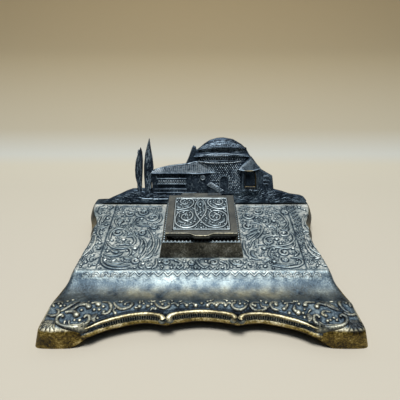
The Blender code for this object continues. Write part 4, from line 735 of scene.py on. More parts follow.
# The strip in front of the ink box, and the strips beside the two panels.
STRIP_SCROLLS = (
    (-24, -17.8, 2.4, 180, -1), (8.2, -17.6, 3, 190, -1), (-6.4, -18.4, 2.2, 90, 1),
    (24.4, -17, 2.4, 150, 1),
)
STRIP_BERRIES = (
    (-28.4, -17.2, 1.3), (-15.6, -22.8, 1.2), (-11.7, -17, 1.2), (-4, -23.3, 1), (-1.4, -23.6, 0.9),
    (14, -23, 1.1), (29.2, -18, 1), (-20, -23.2, 1), (3, -16.6, 1), (16, -16.6, 1.1),
    (-17.4, -15.8, 1), (20, -22.4, 1),
)
STRIP_COMMAS = (
    (-9.6, -23, 20, 3.4, 1, 1), (23.6, -21.6, 330, 4.6, 1.2, 1), (8.4, -22.8, 200, 3.4, 0.9, -1),
    (-25.8, -22.6, 150, 3.4, 1, -1), (12.6, -19.2, 20, 3.4, 0.9, -1), (-13.6, -19.4, 160, 3.4, 0.9, 1),
)
STRIP_STEMS = (
    ((-26.4, -14.8), (-18.6, -14.6), (-12.6, -20.6), (-15.2, -24.4)),
    ((1.6, -23.4), (-1.8, -19.6), (-3.6, -15.4)), ((2, -23.4), (5, -20.6)),
    ((11.8, -15), (17.6, -19.4), (17.4, -24.2)), ((-31, -14), (-30.4, -20), (-33, -24)),
    ((19, -15.2), (22, -19.4), (28.4, -20)),
)
LEFT_EDGE_BERRIES = (
    (-73.7, 34.5, 1.3), (-73.2, 26, 1.3), (-73.3, 3.3, 1.3), (-72.8, -2.7, 1.5), (-77, 43, 1),
    (-74.6, 14.6, 1), (-75.6, -10.4, 1.3), (-78.4, -17.6, 1.1), (-75, -21.4, 1),
)
LEFT_EDGE_COMMAS = (
    (-77.6, 49.4, 120, 4, 1.2, 1), (-82.8, 48.6, 60, 4.4, 1.3, -1), (-80.6, 41, 100, 4, 1.1, 1),
    (-77, 29.6, 110, 3.6, 1, -1), (-75, 19.6, 100, 3.6, 1, 1), (-77.6, 10.6, 80, 3.6, 1, -1),
    (-74.4, 7.8, 260, 3.4, 0.9, 1), (-77.8, -13.4, 250, 4, 1.2, 1), (-73.4, -14.6, 90, 3.8, 1.1, -1),
    (-73.2, -19.4, 300, 3.4, 1, 1), (-81, -20.6, 40, 3.8, 1.1, 1),
)
LEFT_EDGE_STEMS = (
    ((-72.6, 41), (-75.6, 38), (-76.6, 33)),
    ((-73, 22.4), (-76.8, 21), (-77.4, 15), (-74.2, 9.6)),
    ((-77.4, 5.4), (-78.4, -1), (-76.4, -6.6)), ((-74.6, 48), (-73.2, 51.4), (-77.4, 53.6)),
    ((-79.6, 36.6), (-80.2, 30), (-79, 24.4)), ((-84.4, 44.4), (-84.6, 50.6), (-80.6, 53.8)),
)
RIGHT_EDGE_BRANCH = (
    (73.4, 51), (73.6, 42), (74.6, 32), (74.4, 22), (73.2, 12), (74.6, 2), (76.6, -8),
    (76.2, -16),
)
RIGHT_EDGE_COMMAS = (
    (80.2, 49.6, 60, 4.6, 1.3, 1), (84.4, 46.4, 100, 4.2, 1.2, 1), (81, -12.6, 240, 4.4, 1.3, -1),
    (80, -19.4, 140, 4, 1.2, -1), (84.4, -21.6, 120, 4, 1.1, 1), (77.4, -21.4, 20, 3.4, 1, 1),
)

# Ornament of the apron and the feet. Hooks are berries with tails: radius, then places along the
# tail. The feet's lines are those of the right foot.
APRON_BERRIES = (
    (-58.7, -57.5, 1.3), (-37.8, -53.4, 1.4), (-32.7, -53, 1.3), (-35.4, -51, 0.9), (-24, -51.6, 1.1),
    (-87.4, -51.2, 1), (-80.2, -46.4, 1), (0, -50.6, 1.1), (26.4, -51.2, 0.9), (45.4, -51.8, 1.4),
    (52.4, -58, 1.1), (88.6, -50.4, 0.9), (-69.6, -48.6, 0.9), (-46.8, -51.4, 1), (-61.4, -61.8, 0.9),
    (60.8, -61.2, 0.9),
)
APRON_HOOKS = (
    (1.8, (-63, -51.8), (-65, -49.8), (-67.4, -50.8)),
    (1.8, (-68.5, -53.6), (-70.8, -51.8), (-75.2, -52.6)),
    (2, (-74.4, -59.6), (-77, -57.2), (-81.6, -57.6)),
    (1.1, (-51.6, -58.2), (-53, -56.2), (-52, -54.4)),
    (1.1, (-28, -55), (-30, -54.6), (-31, -56)),
    (1.6, (63.1, -52.2), (64.4, -50), (69.4, -49.6)), (1.6, (70, -53.4), (71.8, -51.2), (75.6, -52.4)),
    (1.9, (57.8, -58), (55.8, -56), (56.6, -52.8)),
    (1.3, (73.4, -60.2), (71.8, -58.6), (73.8, -56.8), (77, -57.4)),
    (1.4, (49.8, -55.2), (51.6, -53.4), (52.9, -50.2)),
    (1.2, (32.6, -52.8), (30.8, -51.4), (32.4, -49.6), (35, -49.8)),
    (1.1, (38.4, -54), (36.6, -53.2), (36, -51)),
)
MIDDLE_HOOK_PLACES = (3.6, 9.0, 14.4)
APRON_STEMS = (
    ((-61.3, -48.8), (-57.5, -49.5), (-55, -53.2), (-55.2, -56.8), (-57.4, -58.8), (-59.8, -58.2)),
    ((-54, -49.8), (-51.9, -53.2), (-48.2, -55.2), (-43.9, -53.8), (-42.4, -51), (-44.4, -49.2),
     (-46.9, -50)),
    ((-28.9, -50), (-26.6, -53.2), (-22.9, -54.6), (-19.5, -52.4), (-20.6, -50)),
    ((-84.6, -57), (-80.2, -53.2), (-75.6, -48.6)), ((-81, -58.4), (-76.5, -54.1), (-72, -49.2)),
    ((-92, -59.2), (-88.4, -60.2), (-85.6, -58.8), (-85.8, -56.4), (-87.8, -55.2)),
    ((-89.5, -53.4), (-91.2, -50.8), (-89.6, -49.2), (-86.8, -49), (-85, -51)),
    ((47, -49.6), (43.8, -49.3), (42, -51.8), (43.2, -55), (46.4, -56.3)),
    ((29.9, -50.6), (29.8, -53.4), (32.4, -55.7), (36.4, -56), (41.4, -53)),
    ((21, -49.9), (18.6, -51.2), (19, -54), (21.8, -55.6), (25.3, -55), (28.4, -51.4)),
    ((7.2, -51.9), (8.8, -49.9), (11.8, -49.8), (14.6, -51)),
    ((88.4, -57.8), (86.3, -56.4), (84.6, -53), (84.4, -49.8), (86.2, -48.2)),
    ((84.6, -57.6), (88.6, -59.6), (92.6, -58.8)), ((57, -50.4), (53.4, -49.6), (50.2, -51)),
)
APRON_LEAVES = (
    ((73, -47.6), (77.2, -52.1), (83.6, -56.9)), ((-62.6, -58.6), (-64, -62), (-62.4, -64.6)),
    ((62.6, -58.4), (64, -61.8), (62.4, -64.4)), ((90.4, -53.6), (91.4, -50), (89.6, -47.2)),
)
FOOT_SCROLL = (
    (81.8, -61.4), (83.2, -59.7), (85.3, -61.2), (84.6, -64.7), (81.1, -67.2), (76.2, -68.2), (71.2, -68.2),
    (67.4, -66.4), (66, -63.4), (66.6, -60.7), (68.4, -60), (69.6, -61.8),
)
FAN_FOOT = (86.2, -63.6)
FAN_TIPS = ((95.2, -64.6), (95, -67.4), (93.4, -69.4), (90.6, -70.2), (87.6, -70.4), (84.6, -70.2))
FOOT_LINE = ((80.6, -66.2), (76, -66.6), (71.2, -66.4), (68.4, -64.2))  # inside the scroll

# Bars along the arched front: along x, out of the shoulder line and up, on the right half.
FILLET = (
    (67.5, -1.2, 13.9), (62, -1.1, 14.3), (54, -1, 14.7), (44, -1, 15), (34, -1, 15),
    (27.4, -1, 15), (24.9, -0.8, 14.8), (23.6, -0.2, 14), (23.3, 0.4, 12.9), (23.8, 0.4, 11.7),
    (25.2, -0.5, 10.8),
)
MIDDLE_FILLET = (
    (-17.8, -0.2, 10.8), (-19, 0.4, 11.7), (-19.5, 0.4, 12.9), (-19.3, -0.2, 14), (-18, -0.8, 14.8),
    (-15.6, -1, 15), (-8, -1, 15), (0, -1, 15), (8, -1, 15), (15.6, -1, 15),
    (18, -0.8, 14.8), (19.3, -0.2, 14), (19.5, 0.4, 12.9), (19, 0.4, 11.7), (17.8, -0.2, 10.8),
)
FILLET_RADIUS = 1.1
CURL_SWELL = 1.0
REED_PITCH = 1.35
REED_RADIUS = 0.4
REED_TOP = 13.6
TROUGH_GILT_REAR = -30.0  # up to where the scrolls are evenly gilt

# The row of small tongues along the rear edge of the trough
TONGUE_PITCH = 6.3
TONGUE_HALF_SPAN = 79.0
TONGUE_FOOT_Y, TONGUE_TIP_Y = -30.6, -26.9
POINTED_HALF_SPAN = 45.0


def tongue_share(x, y):
    """1 inside the tongues along the trough's rear edge, fading to 0 at their feet."""
    beside = abs((x + TONGUE_PITCH / 2) % TONGUE_PITCH - TONGUE_PITCH / 2) / (TONGUE_PITCH / 2)
    t = (y - TONGUE_FOOT_Y) / (TONGUE_TIP_Y - TONGUE_FOOT_Y)
    reach = np.where(abs(x) < POINTED_HALF_SPAN, 1.0 - beside, np.sqrt(np.clip(1.0 - beside**2, 0.0, 1.0)))
    inside = smooth_step(reach - t, 0.0, 0.2) * (t > -0.2)
    return inside * smooth_step(t, -0.2, 0.5) * (abs(x) < TONGUE_HALF_SPAN)


def add_tongues(carving):
    """Two zigzag lines over the pointed tongues of the middle, and arcs over the round ones."""
    count = int(TONGUE_HALF_SPAN / TONGUE_PITCH)
    run = TONGUE_TIP_Y - TONGUE_FOOT_Y
    zigzag = []
    for k in range(-count, count + 1):
        x = k * TONGUE_PITCH
        if abs(x) < POINTED_HALF_SPAN:
            zigzag += [(x - TONGUE_PITCH / 2, TONGUE_FOOT_Y + run * 0.45), (x, TONGUE_TIP_Y + 0.2)]
            continue
        for reach in (1.0, 0.6):
            arc = round_points(np.radians(np.linspace(0, 180, 14)), reach) * (2.7, 2.9)
            carving.ridge(arc + (x, TONGUE_FOOT_Y + 1.2), 0.4, 0.3, 0.9)
    zigzag.append((-zigzag[0][0], zigzag[0][1]))
    for shift in (0.0, 1.5):
        carving.ridge(evenly(np.array(zigzag) + (0.0, shift), 0.7), 0.4, 0.3, 0.85)


def add_feet(carving):
    """A large C-scroll and a fan of leaves on each front foot."""
    for side in (-1, 1):
        carving.stem([(side * x, y) for x, y in FOOT_SCROLL], 1.35, 1.2, 0.70, 0.8)
        carving.stem([(side * x, y) for x, y in FOOT_LINE], 0.7, 0.5, 0.6)
        x, y = side * FAN_FOOT[0], FAN_FOOT[1]
        for tip_x, tip_y in FAN_TIPS:
            middle = ((x + side * tip_x) / 2 + side * 0.5, (y + tip_y) / 2)
            carving.leaf(((x, y), middle, (side * tip_x, tip_y)), 0.85, 0.6, 0.5, 0.6, 0.9)


def front_line(places):
    """Points in space from (x, out, z) along the arched front."""
    rows = np.hstack([EDGE, OUTWARD])[EDGE[:, 1] < TROUGH_FRONT]
    rows = rows[np.argsort(rows[:, 0])]
    x, out, z = np.asarray(places, float).T
    y, across, along = (np.interp(x, rows[:, 0], column) for column in rows[:, 1:].T)
    return np.column_stack([x + across * out, y + along * out, z])


def curled_end(away):
    """How much thicker a fillet gets towards its curled end."""
    return CURL_SWELL * bell(away, 3.2, 2.4)


def front_bars():
    """The fillets along the arched front, curled down at their ends, and the reeds below."""
    bars = Carving(top_height)
    step = 0.8
    for knots, tapered in ((np.array(FILLET) * (-1, 1, 1), True), (FILLET, True), (MIDDLE_FILLET, False)):
        places = curve_through(knots, step)
        ahead = np.arange(len(places)) * step
        taper = np.interp(ahead, (0.0, 12.0), (0.4, FILLET_RADIUS))
        radius = taper if tapered else FILLET_RADIUS + curled_end(ahead)
        bars.tube(front_line(places), radius + curled_end(ahead[-1] - ahead), 0.8)
    for x in np.arange(-58.0, 58.5, REED_PITCH):
        if abs(abs(x) - VALLEY_X) > 2.4:
            reach = 1.0 - 0.5 * smooth_step(abs(x), 40.0, 60.0)
            reed = [(x, -2.6, 12.6 + 0.6 * reach), (x, -2.2, 12.0), (x, -1.5, 11.2), (x, -0.9, 10.5)]
            bars.tube(front_line(reed), REED_RADIUS, 0.75, 6)
    return bars.made("front_bars")


def add_edge_branch(carving):
    """A branch of small leaves beside the right panel."""
    line = curve_through(RIGHT_EDGE_BRANCH, 4.2)
    carving.stem(RIGHT_EDGE_BRANCH, 0.45, 0.5)
    for k, (x, y) in enumerate(line[:-1]):
        for side in (-1, 1):
            reach = 3.1 if side > 0 else 1.8
            tip = (x + side * reach, y + 2.3)
            carving.leaf(((x, y), (x + side * reach * 0.6, y + 0.7), tip), 0.75, 0.55, 0.85, 0.3)


def left_edge_x(y, inset):
    """Where the skirt's outline, moved inwards, lies along X at a place on the front left."""
    keep = (EDGE[:, 0] < 0) & (EDGE[:, 1] > -28) & (EDGE[:, 1] < 0)
    line = (EDGE - OUTWARD * inset)[keep]
    line = line[np.argsort(line[:, 1])]
    return float(np.interp(y, line[:, 1], line[:, 0]))


# Rolls along the bevel of each side, with curled ends.
LEFT_ROLLS = (
    ((-81.6, 16.6), (-83.6, 14.6), (-83.2, 12.2), (-80.4, 12.6), (-78.9, 8.7), (-78.4, 2.5), (-79.4, -2.8),
     (-81.2, -7.4), (-83.6, -11.6)),
    ((-83.4, 10.2), (-83.2, 4), (-83.4, -1.8), (-84.4, -7)),
)
RIGHT_ROLLS = (
    ((87.2, 41.6), (83.4, 38.2), (80.2, 31.6), (78.9, 24.4), (79.6, 18.4), (82.4, 16.4)),
    ((85.2, 36.8), (82.6, 31), (81.4, 25), (82.4, 20.4)),
    ((81.6, 14.4), (78.4, 12.4), (77.4, 6.4), (78.2, -1.6), (80.6, -6.6), (84.2, -10.2)),
    ((81.4, 9.6), (80.8, 3.6), (82.4, -3.4)),
    ((76.4, 4.6), (76.2, -2.4), (78.2, -9.4), (81.4, -13.4)),
)
ROLL_INSET = 1.3


def add_side_scrolls(carving):
    """Rolls on the bevel of both sides, and small leaves beside their front ends."""
    for rolls in (LEFT_ROLLS, RIGHT_ROLLS):
        for k, knots in enumerate(rolls):
            inwards = [(x - math.copysign(ROLL_INSET, x), y) for x, y in knots]
            carving.stem(inwards, 1.0 - 0.25 * (k % 2), 1.0, 1.0, 0.6)
    for side in (-1, 1):
        for y in np.arange(-13.6, -24.0, -2.5):
            carving.comma(-side * left_edge_x(y, 2.4), y, 90 + side * 40, 3.0, 0.9, side, 0.6)


def panel_spots(left, right, front, rear):
    """Jittered places over a rectangle, for the carving's fill."""

    def places(rng, spacing):
        for y in np.arange(front, rear, spacing):
            for x in np.arange(left, right, spacing):
                yield x + rng.uniform(-0.4, 0.4) * spacing, y + rng.uniform(-0.4, 0.4) * spacing

    return places


def apron_spots(rng, spacing):
    """Jittered places over the apron, behind its fillets and scrolls."""
    for x in np.arange(-88.0, 88.1, spacing):
        front = float(front_line([(x, 0.0, 0.0)])[0, 1]) + 5.2
        for y in np.arange(-48.2, front, -spacing):
            yield x + rng.uniform(-0.3, 0.3) * spacing, y + rng.uniform(-0.3, 0.3) * spacing


# Left, right, front and rear of the areas whose ground small ornament fills
FILLED_AREAS = (
    (-68, -31, -23, 51), (31, 68, -23, 51), (-30, 30, -23.4, -14),
    (-80, -72, -22, 51), (72, 80, -22, 51),
)


def carved_plate(surface):
    """All the ornament on the plate's top but the tongues and the side rolls."""
    carving = Carving(surface)
    add_group(carving, LEFT_SCROLLS, LEFT_BERRIES, LEFT_COMMAS, LEFT_STEMS, LEFT_LEAVES)
    add_group(carving, RIGHT_SCROLLS, RIGHT_BERRIES, RIGHT_COMMAS, RIGHT_STEMS, RIGHT_LEAVES)
    add_group(carving, STRIP_SCROLLS, STRIP_BERRIES, STRIP_COMMAS, STRIP_STEMS)
    add_group(carving, (), LEFT_EDGE_BERRIES, LEFT_EDGE_COMMAS, LEFT_EDGE_STEMS)
    add_group(carving, commas=RIGHT_EDGE_COMMAS)
    for knots in APRON_STEMS:
        carving.stem(knots, 1.2, 0.85, 0.66, 0.45)
    for knots in APRON_LEAVES:
        carving.leaf(knots, 1.9, 0.9, 0.64)
    for x, y, radius in APRON_BERRIES:
        carving.berry(x, y, 1.15 * radius, worn=0.62)
    for side in (-1, 1):
        for x in MIDDLE_HOOK_PLACES:
            carving.hook(1.4, (side * x, -52.4), (side * (x + 2.2), -50.4), (side * (x + 4.2), -51.2))
    for radius, *knots in APRON_HOOKS:
        carving.hook(1.15 * radius, *knots)
    add_edge_branch(carving)
    add_feet(carving)
    for seed, sides in enumerate(FILLED_AREAS):
        carving.fill(panel_spots(*sides), 2.7, 1.15, seed)
    carving.fill(apron_spots, 2.6, 1.5, 9, 1.6)
    return carving


def surface_of(obj, start, least, elsewhere):
    """The height of an object over each of a row of spots, seen from start, and what elsewhere
    gives where it has nothing above least."""
    tree = BVHTree.FromObject(obj, bpy.context.evaluated_depsgraph_get())

    def height(spots):
        heights = elsewhere(spots)
        for k, (x, y) in enumerate(spots):
            hit = tree.ray_cast(Vector((x, y, start)) * MM, Vector((0, 0, -1)))[0]
            if hit is not None and hit.z / MM > least:
                heights[k] = hit.z / MM
        return heights

    return height


def level(height):
    """A flat surface for a carving."""
    return lambda spots: np.full(len(spots), height)


# The grooves beside the panels, those across the plate, as Y and half length, and how worn the
# plate is along Y, with a painted highlight on the trough's rear slope and its floor and front rise
# painted darker
PANEL_GROOVE_X, PANEL_GROOVE_FRONT, PANEL_GROOVE_REAR = 70.0, -24.5, 54.0
CROSS_GROOVES = ((-12.9, 29.5), (-24.6, 82))
TROUGH_WEAR_AND_SHADING = (
    (-50, 0.24), (-46, 0.25), (-42, 0.26), (-38, 0.27), (-34.5, 0.35), (-31.5, 0.51), (-28.5, 0.53),
    (-26, 0.74), (51, 0.74), (53, 0.95),
)


def shade_plate(plate, traces):
    """Stores how worn, how gilt and how stained the plate is at each point, with painted highlights and
    painted shade in the wear and a painted reflection in the stain.
    """
    x, y, z = points_of(plate).T
    near = TraceTree(traces).clearances(x, y)
    inset = TraceTree([np.pad(EDGE, ((0, 0), (0, 1)))]).clearances(x, y)

    # Trough, apron and the ground round the ornament. The trough's painted highlight fades towards its
    # ends, and its hollow is painted a little darker
    apron = 1 - smooth_step(y, TROUGH_FRONT + 1.5, TROUGH_FRONT + 4.5)
    slope = smooth_step(y, -40.0, -31.0) * (1 - smooth_step(y, -30.5, -26.5))
    ends = smooth_step(abs(x + 5.0), 18.0, 75.0)
    wear = np.interp(y, *np.array(TROUGH_WEAR_AND_SHADING).T) * (1 - apron) + 0.40 * apron - 0.23 * slope * ends
    hollow = bell(y, -44.5, 7.0) * (1 - apron)
    wear -= hollow * 0.05 * ends
    wear *= 1 - 0.75 * bell(x, 3.0, 4.5) * bell(y, -14.4, 1.5)
    # The ground beside each ridge is darker: patina in the crevice, and painted shade at the ridge's foot.
    outlines = bell(near, 0.0, 0.5) * (1 - slope) * (1 - hollow)
    wear *= 1 - 0.88 * outlines

    # Tongues and grooves
    edged = tongue_share(x, y)
    wear = wear * (1 - 0.3 * bell(y, -27.6, 1.6)) * (1 - edged) + 0.62 * edged
    groove = (y > PANEL_GROOVE_FRONT) & (y < PANEL_GROOVE_REAR)
    groove = groove * bell(abs(x), PANEL_GROOVE_X, 0.6)
    for line, reach in CROSS_GROOVES:
        groove = np.maximum(groove, 0.5 * (abs(x) < reach) * bell(y, line, 0.5))
    wear *= 1 - 0.8 * groove

    # Arched front, skirt, bevel and the plate's edges
    share = front_share(np.column_stack([x, y]))
    front = (share > 0.4) & (y < TROUGH_FRONT - 0.5)
    # Painted shade down the front wall behind the fillets and the reeds, darkest just under the fillets.
    under = front & (z < 15.9)
    wear = np.where(under, 0.04 + 0.2 * (1 - smooth_step(z, 10.5, 13.0)), wear)
    lip = front * (1 - smooth_step(z, 9.6, 10.6))
    skirt = inset < np.where((y > TROUGH_FRONT - 2.0) & (y < TROUGH_REAR + 3.0), 1.0, 5.0)
    side = (1 - front) * (1 - smooth_step(z, 13.2, 15.4)) * skirt
    # The lip is gilt and worn above, and painted black along its lower face as shade under the arch.
    wear = np.where(lip > 0.3, 0.60 * smooth_step(z, 7.9, 8.8), wear)
    wear = np.where(side > 0.3, 0.30, wear)
    bevel = (1 - front) * (y > TROUGH_REAR) * (z < PLATE_TOP - 0.3) * (z > SHOULDER_HEIGHT)
    wear = np.where(bevel, 0.16, wear)
    edge = (1 - front) * (y < TROUGH_FRONT) * bell(z, 14.4, 0.8) * skirt
    wear = np.maximum(wear, 0.8 * edge)
    # Painted shadow under the foot of the relief.
    wear *= 1 - 0.85 * smooth_step(y, 54.0, 57.0)
    store(plate.data, "wear", wear)
    # The olive in the middle of the trough is stain and a painted reflection of the olive-brown surroundings.
    middle = 1 - 0.6 * smooth_step(abs(x), 30.0, 80.0)
    stain_and_reflection = 1.1 * bell(y, -40.5, 5.5) * middle * (1 - apron)
    tint(plate, np.maximum.reduce([lip, side, 0.6 * edge, 0.5 * bevel]), stain_and_reflection)


plate = make_plate()
carving = carved_plate(surface_of(plate, 40.0, 1.0, lambda spots: top_height(spots[:, 1])))
shade_plate(plate, carving.traces)
add_tongues(carving)
add_side_scrolls(carving)
scrolls = carving.made("plate_scrolls")
bars = front_bars()
_, y, z = points_of(scrolls).T
tint(scrolls, np.where(y > TROUGH_GILT_REAR, 0.5 * (1 - smooth_step(z, 15.0, 18.0)), 0.4))
tint(bars, 0.75 - 0.6 * (points_of(bars)[:, 2] < REED_TOP))
for piece in (plate, scrolls, bars):
    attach(piece, "base")
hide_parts("base_plate")


# Relief of buildings and trees. Its own coordinates are x across, s up its face and out towards
# the front, measured from the foot of its face.
RELIEF_LEAN = math.radians(12.0)
RELIEF_FOOT = Vector((0.0, 56.0, 21.7))
RELIEF_THICKNESS = 2.4
UP_FACE = Vector((0.0, math.sin(RELIEF_LEAN), math.cos(RELIEF_LEAN)))
OUT_OF_FACE = Vector((0.0, -math.cos(RELIEF_LEAN), math.sin(RELIEF_LEAN)))
SKYLINE = (
    (-83.3, 0), (-78.5, 2), (-73.3, 4.7), (-67.3, 7.3), (-61.4, 10.2), (-56.4, 12), (-50, 12.4),
    (-40.2, 12.4), (-40.2, 27.2), (-36.2, 29), (-25.3, 31.6), (-12.4, 33.4), (-9.8, 39.1), (-7.5, 45.9),
    (-6.4, 48), (-4.2, 46.9), (-3.8, 44.6), (-2.2, 45.4), (2.4, 49.5), (6.9, 52.4), (12.2, 54),
    (17.4, 54.4), (25, 53), (31.9, 49), (35.6, 45.6), (38.6, 40.6), (43.9, 33.8), (48.8, 28.4),
    (52.8, 26), (57.8, 23.2), (59.5, 11.7), (66.3, 9.9), (73.1, 7.6), (81.4, 6.4), (84.8, 5.1),
    (87.4, 2), (87, 0),
)
GROUND = (
    (-81, 0.3), (-73.3, 3.9), (-61.4, 9.2), (-54, 11.4), (-40, 8.4), (-12, 8), (8, 9.6),
    (22, 12.4), (44, 13.4), (58.6, 11.4), (68, 9.2), (80.6, 5.8), (86, 2), (86, 0.3),
)
LEFT_TREE = (
    (-52.2, 6), (-52.2, 16.7), (-53.4, 22.6), (-53.4, 29), (-52.4, 36), (-50.5, 41.6), (-48.2, 46.6),
    (-47.2, 43), (-46.9, 36), (-47.4, 28), (-48.2, 20), (-48.8, 14), (-48.8, 6),
)
RIGHT_TREE = (
    (-46, 6), (-46.3, 24), (-46, 32), (-44.7, 41.2), (-42.9, 47.8), (-40.9, 54), (-40.1, 45.6),
    (-39.1, 38.6), (-38.5, 30), (-40.2, 20.5), (-41.4, 6),
)
TURRET = (
    (-12.4, 32), (-9.6, 39.1), (-7.4, 45.5), (-6.3, 47.6), (-4.4, 46.6), (-4.2, 43), (-2.4, 40),
    (-2, 32),
)
HOUSE_WALL = ((-40, 3.6), (9.4, 3.6), (9.4, 27.6), (-40, 27.6))
WINDOW_BAND = ((-35.5, 22.4), (-12.9, 22.4), (-12.9, 25.2), (-35.5, 25.2))
LOW_BAND = ((-35, 13.4), (-12.9, 13.4), (-12.9, 16.4), (-35, 16.4))
ROOF_TOP = ((-39.6, 27.6), (-36.2, 29.2), (-25.3, 31.9), (-12.2, 33.6), (-3.7, 35.4), (4.7, 32), (10, 28))
ROOF_EAVE = ((-40.6, 26), (-36, 26), (-25, 26), (-12, 26), (-3.4, 25.6), (4.8, 26.2), (10.6, 27))
WING = (
    (36, 40.6), (38.7, 39.9), (43.9, 33.4), (48.8, 27.8), (52.8, 25.6), (57, 22.9), (58.8, 11),
    (40, 11),
)
STAIR = ((4.6, 16.2), (7.6, 19), (18.4, 11.9), (14.8, 9.8))
DRUM_LEFT, DRUM_RIGHT = -2.6, 38.2
DRUM_SWELL = 3.0
CAP_EDGE = ((-2.4, 45.4), (2.4, 46.4), (6.9, 46.9), (17.8, 47.5), (28, 47.2), (34.6, 46))
CAP_TOP = ((-2.2, 45.8), (2.4, 49.3), (6.9, 52.3), (17.6, 54.3), (31, 49.8), (34.8, 46.4))
TIER_EDGE = ((-6, 39.6), (2, 40.6), (17.6, 41), (30, 40.8), (38.2, 39.8))
TIER_TOP = ((-4, 42.4), (3, 43.4), (17.6, 43.8), (29, 43.6), (37, 42))
CORNICE = ((-2.8, 35.8), (2.4, 35), (10.1, 34.7), (17.8, 34.8), (25.4, 35), (32.3, 35.9))
DOOR_X, DOOR_FOOT, DOOR_SPRING, DOOR_HALF_WIDTH = 18.5, 12.0, 20.4, 3.4
PAVILION_WALL = ((32.6, 11.6), (46.8, 11.6), (46.4, 31), (32.2, 31))
PAVILION_EAVE = ((29.2, 29.9), (34, 29), (40, 28.8), (47.2, 30.6))
PAVILION_TOP = ((37.4, 37.6), (38.4, 39), (39.2, 39), (40.4, 37.4))
WINDOW = ((35.2, 14.6), (44.2, 14.6), (43.8, 24.6), (42.4, 27.4), (39.6, 28.6), (36.8, 27.4), (35.4, 24.6))
ROUNDEL = (1.3, 22.4)
FLANGE_HALF_WIDTH = 68.0
DOME_X = 17.2
DOME_SAG = 1.3


class Forms:
    """Closed forms of a relief in its own coordinates, gathered in one mesh."""

    def __init__(self):
        self.points, self.wear, self.faces = [], [], []

    def add(self, obj, wear):
        """Takes in an object's mesh and removes the object."""
        start = len(self.points)
        spots = points_of(obj)
        self.points += [tuple(spot) for spot in spots]
        self.wear += list(np.broadcast_to(wear, len(spots)))
        self.faces += [tuple(start + k for k in face.vertices) for face in obj.data.polygons]
        bpy.data.objects.remove(obj, do_unlink=True)

    def raised(self, outline, back, front, wear, edge, holes=()):
        """A flat form with a narrow bevel round its front, and recesses cut into it."""
        loop = np.asarray(outline, float)
        if np.cross(loop, np.roll(loop, -1, axis=0)).sum() < 0:
            loop = loop[::-1]
        along = np.roll(loop, -1, axis=0) - np.roll(loop, 1, axis=0)
        inward = np.column_stack([-along[:, 1], along[:, 0]])
        inward /= np.linalg.norm(inward, axis=1)[:, None]
        count = len(loop)
        bevel = 0.35
        sections = ((loop, back), (loop, front - bevel), (loop + inward * bevel, front))
        rings = [np.column_stack([spots, np.full(count, out)]) for spots, out in sections]
        faces = grid_faces(3, count, wrap=True)
        faces += [tuple(reversed(range(count))), tuple(range(2 * count, 3 * count))]
        form = closed("form", np.vstack(rings), faces)
        cut(form, *(block("recess", hole, "Z", front - depth, front + 2.0) for hole, depth in holes))
        out = points_of(form)[:, 2]
        self.add(form, np.where(out > front - bevel * 1.5, edge, wear))

    def sheet(self, low, high, outs, wear, columns=28, rows=7, swell=0.0, thickness=1.6):
        """A sloping or swelling sheet between a lower and an upper line, with thickness behind."""
        low, high = evenly(low, count=columns), evenly(high, count=columns)
        u = np.sin(np.pi * np.linspace(0.02, 0.98, columns)) ** 0.6
        front = []
        for v in np.linspace(0.0, 1.0, rows):
            spots = low + (high - low) * v
            out = outs[0] + (outs[1] - outs[0]) * v + swell * u * math.cos(v * math.pi / 2 * (outs[1] < 0.5))
            front.append(np.column_stack([spots, np.broadcast_to(out, columns)]))
        front = np.vstack(front)
        behind = front * (1, 1, 0) - (0, 0, thickness)
        count = len(front)
        faces = grid_faces(rows, columns)
        faces += [tuple(count + k for k in reversed(face)) for face in grid_faces(rows, columns)]
        rim = grid_rim(rows, columns)
        faces += joined_rims(rim, [count + k for k in rim])
        edge = np.zeros(2 * count)
        edge[:columns] = 0.25
        self.add(closed("sheet", np.vstack([front, behind]), faces), wear + edge)

    def made(self, name):
        """The forms as one object."""
        obj = new_mesh(name, self.points, self.faces, self.wear)
        obj.data.set_sharp_from_angle(angle=math.radians(38.0))
        return obj


def lean_back(obj):
    """Turns a piece from the relief's coordinates to its place on the plate."""
    turn = Matrix((
        (1.0, UP_FACE.x, OUT_OF_FACE.x, RELIEF_FOOT.x * MM),
        (0.0, UP_FACE.y, OUT_OF_FACE.y, RELIEF_FOOT.y * MM),
        (0.0, UP_FACE.z, OUT_OF_FACE.z, RELIEF_FOOT.z * MM),
        (0.0, 0.0, 0.0, 1.0),
    ))
    obj.data.transform(turn)
    return obj


def arch(half_width, x, foot, spring):
    """The outline of a doorway with a round top."""
    top = round_points(np.linspace(0, math.pi, 10), half_width, (x, spring))
    return [(x + half_width, foot), *top, (x - half_width, foot)]


def dome_sag(x, span):
    """How far a line round the dome sags away from its middle."""
    return DOME_SAG * ((x - DOME_X) / span) ** 2


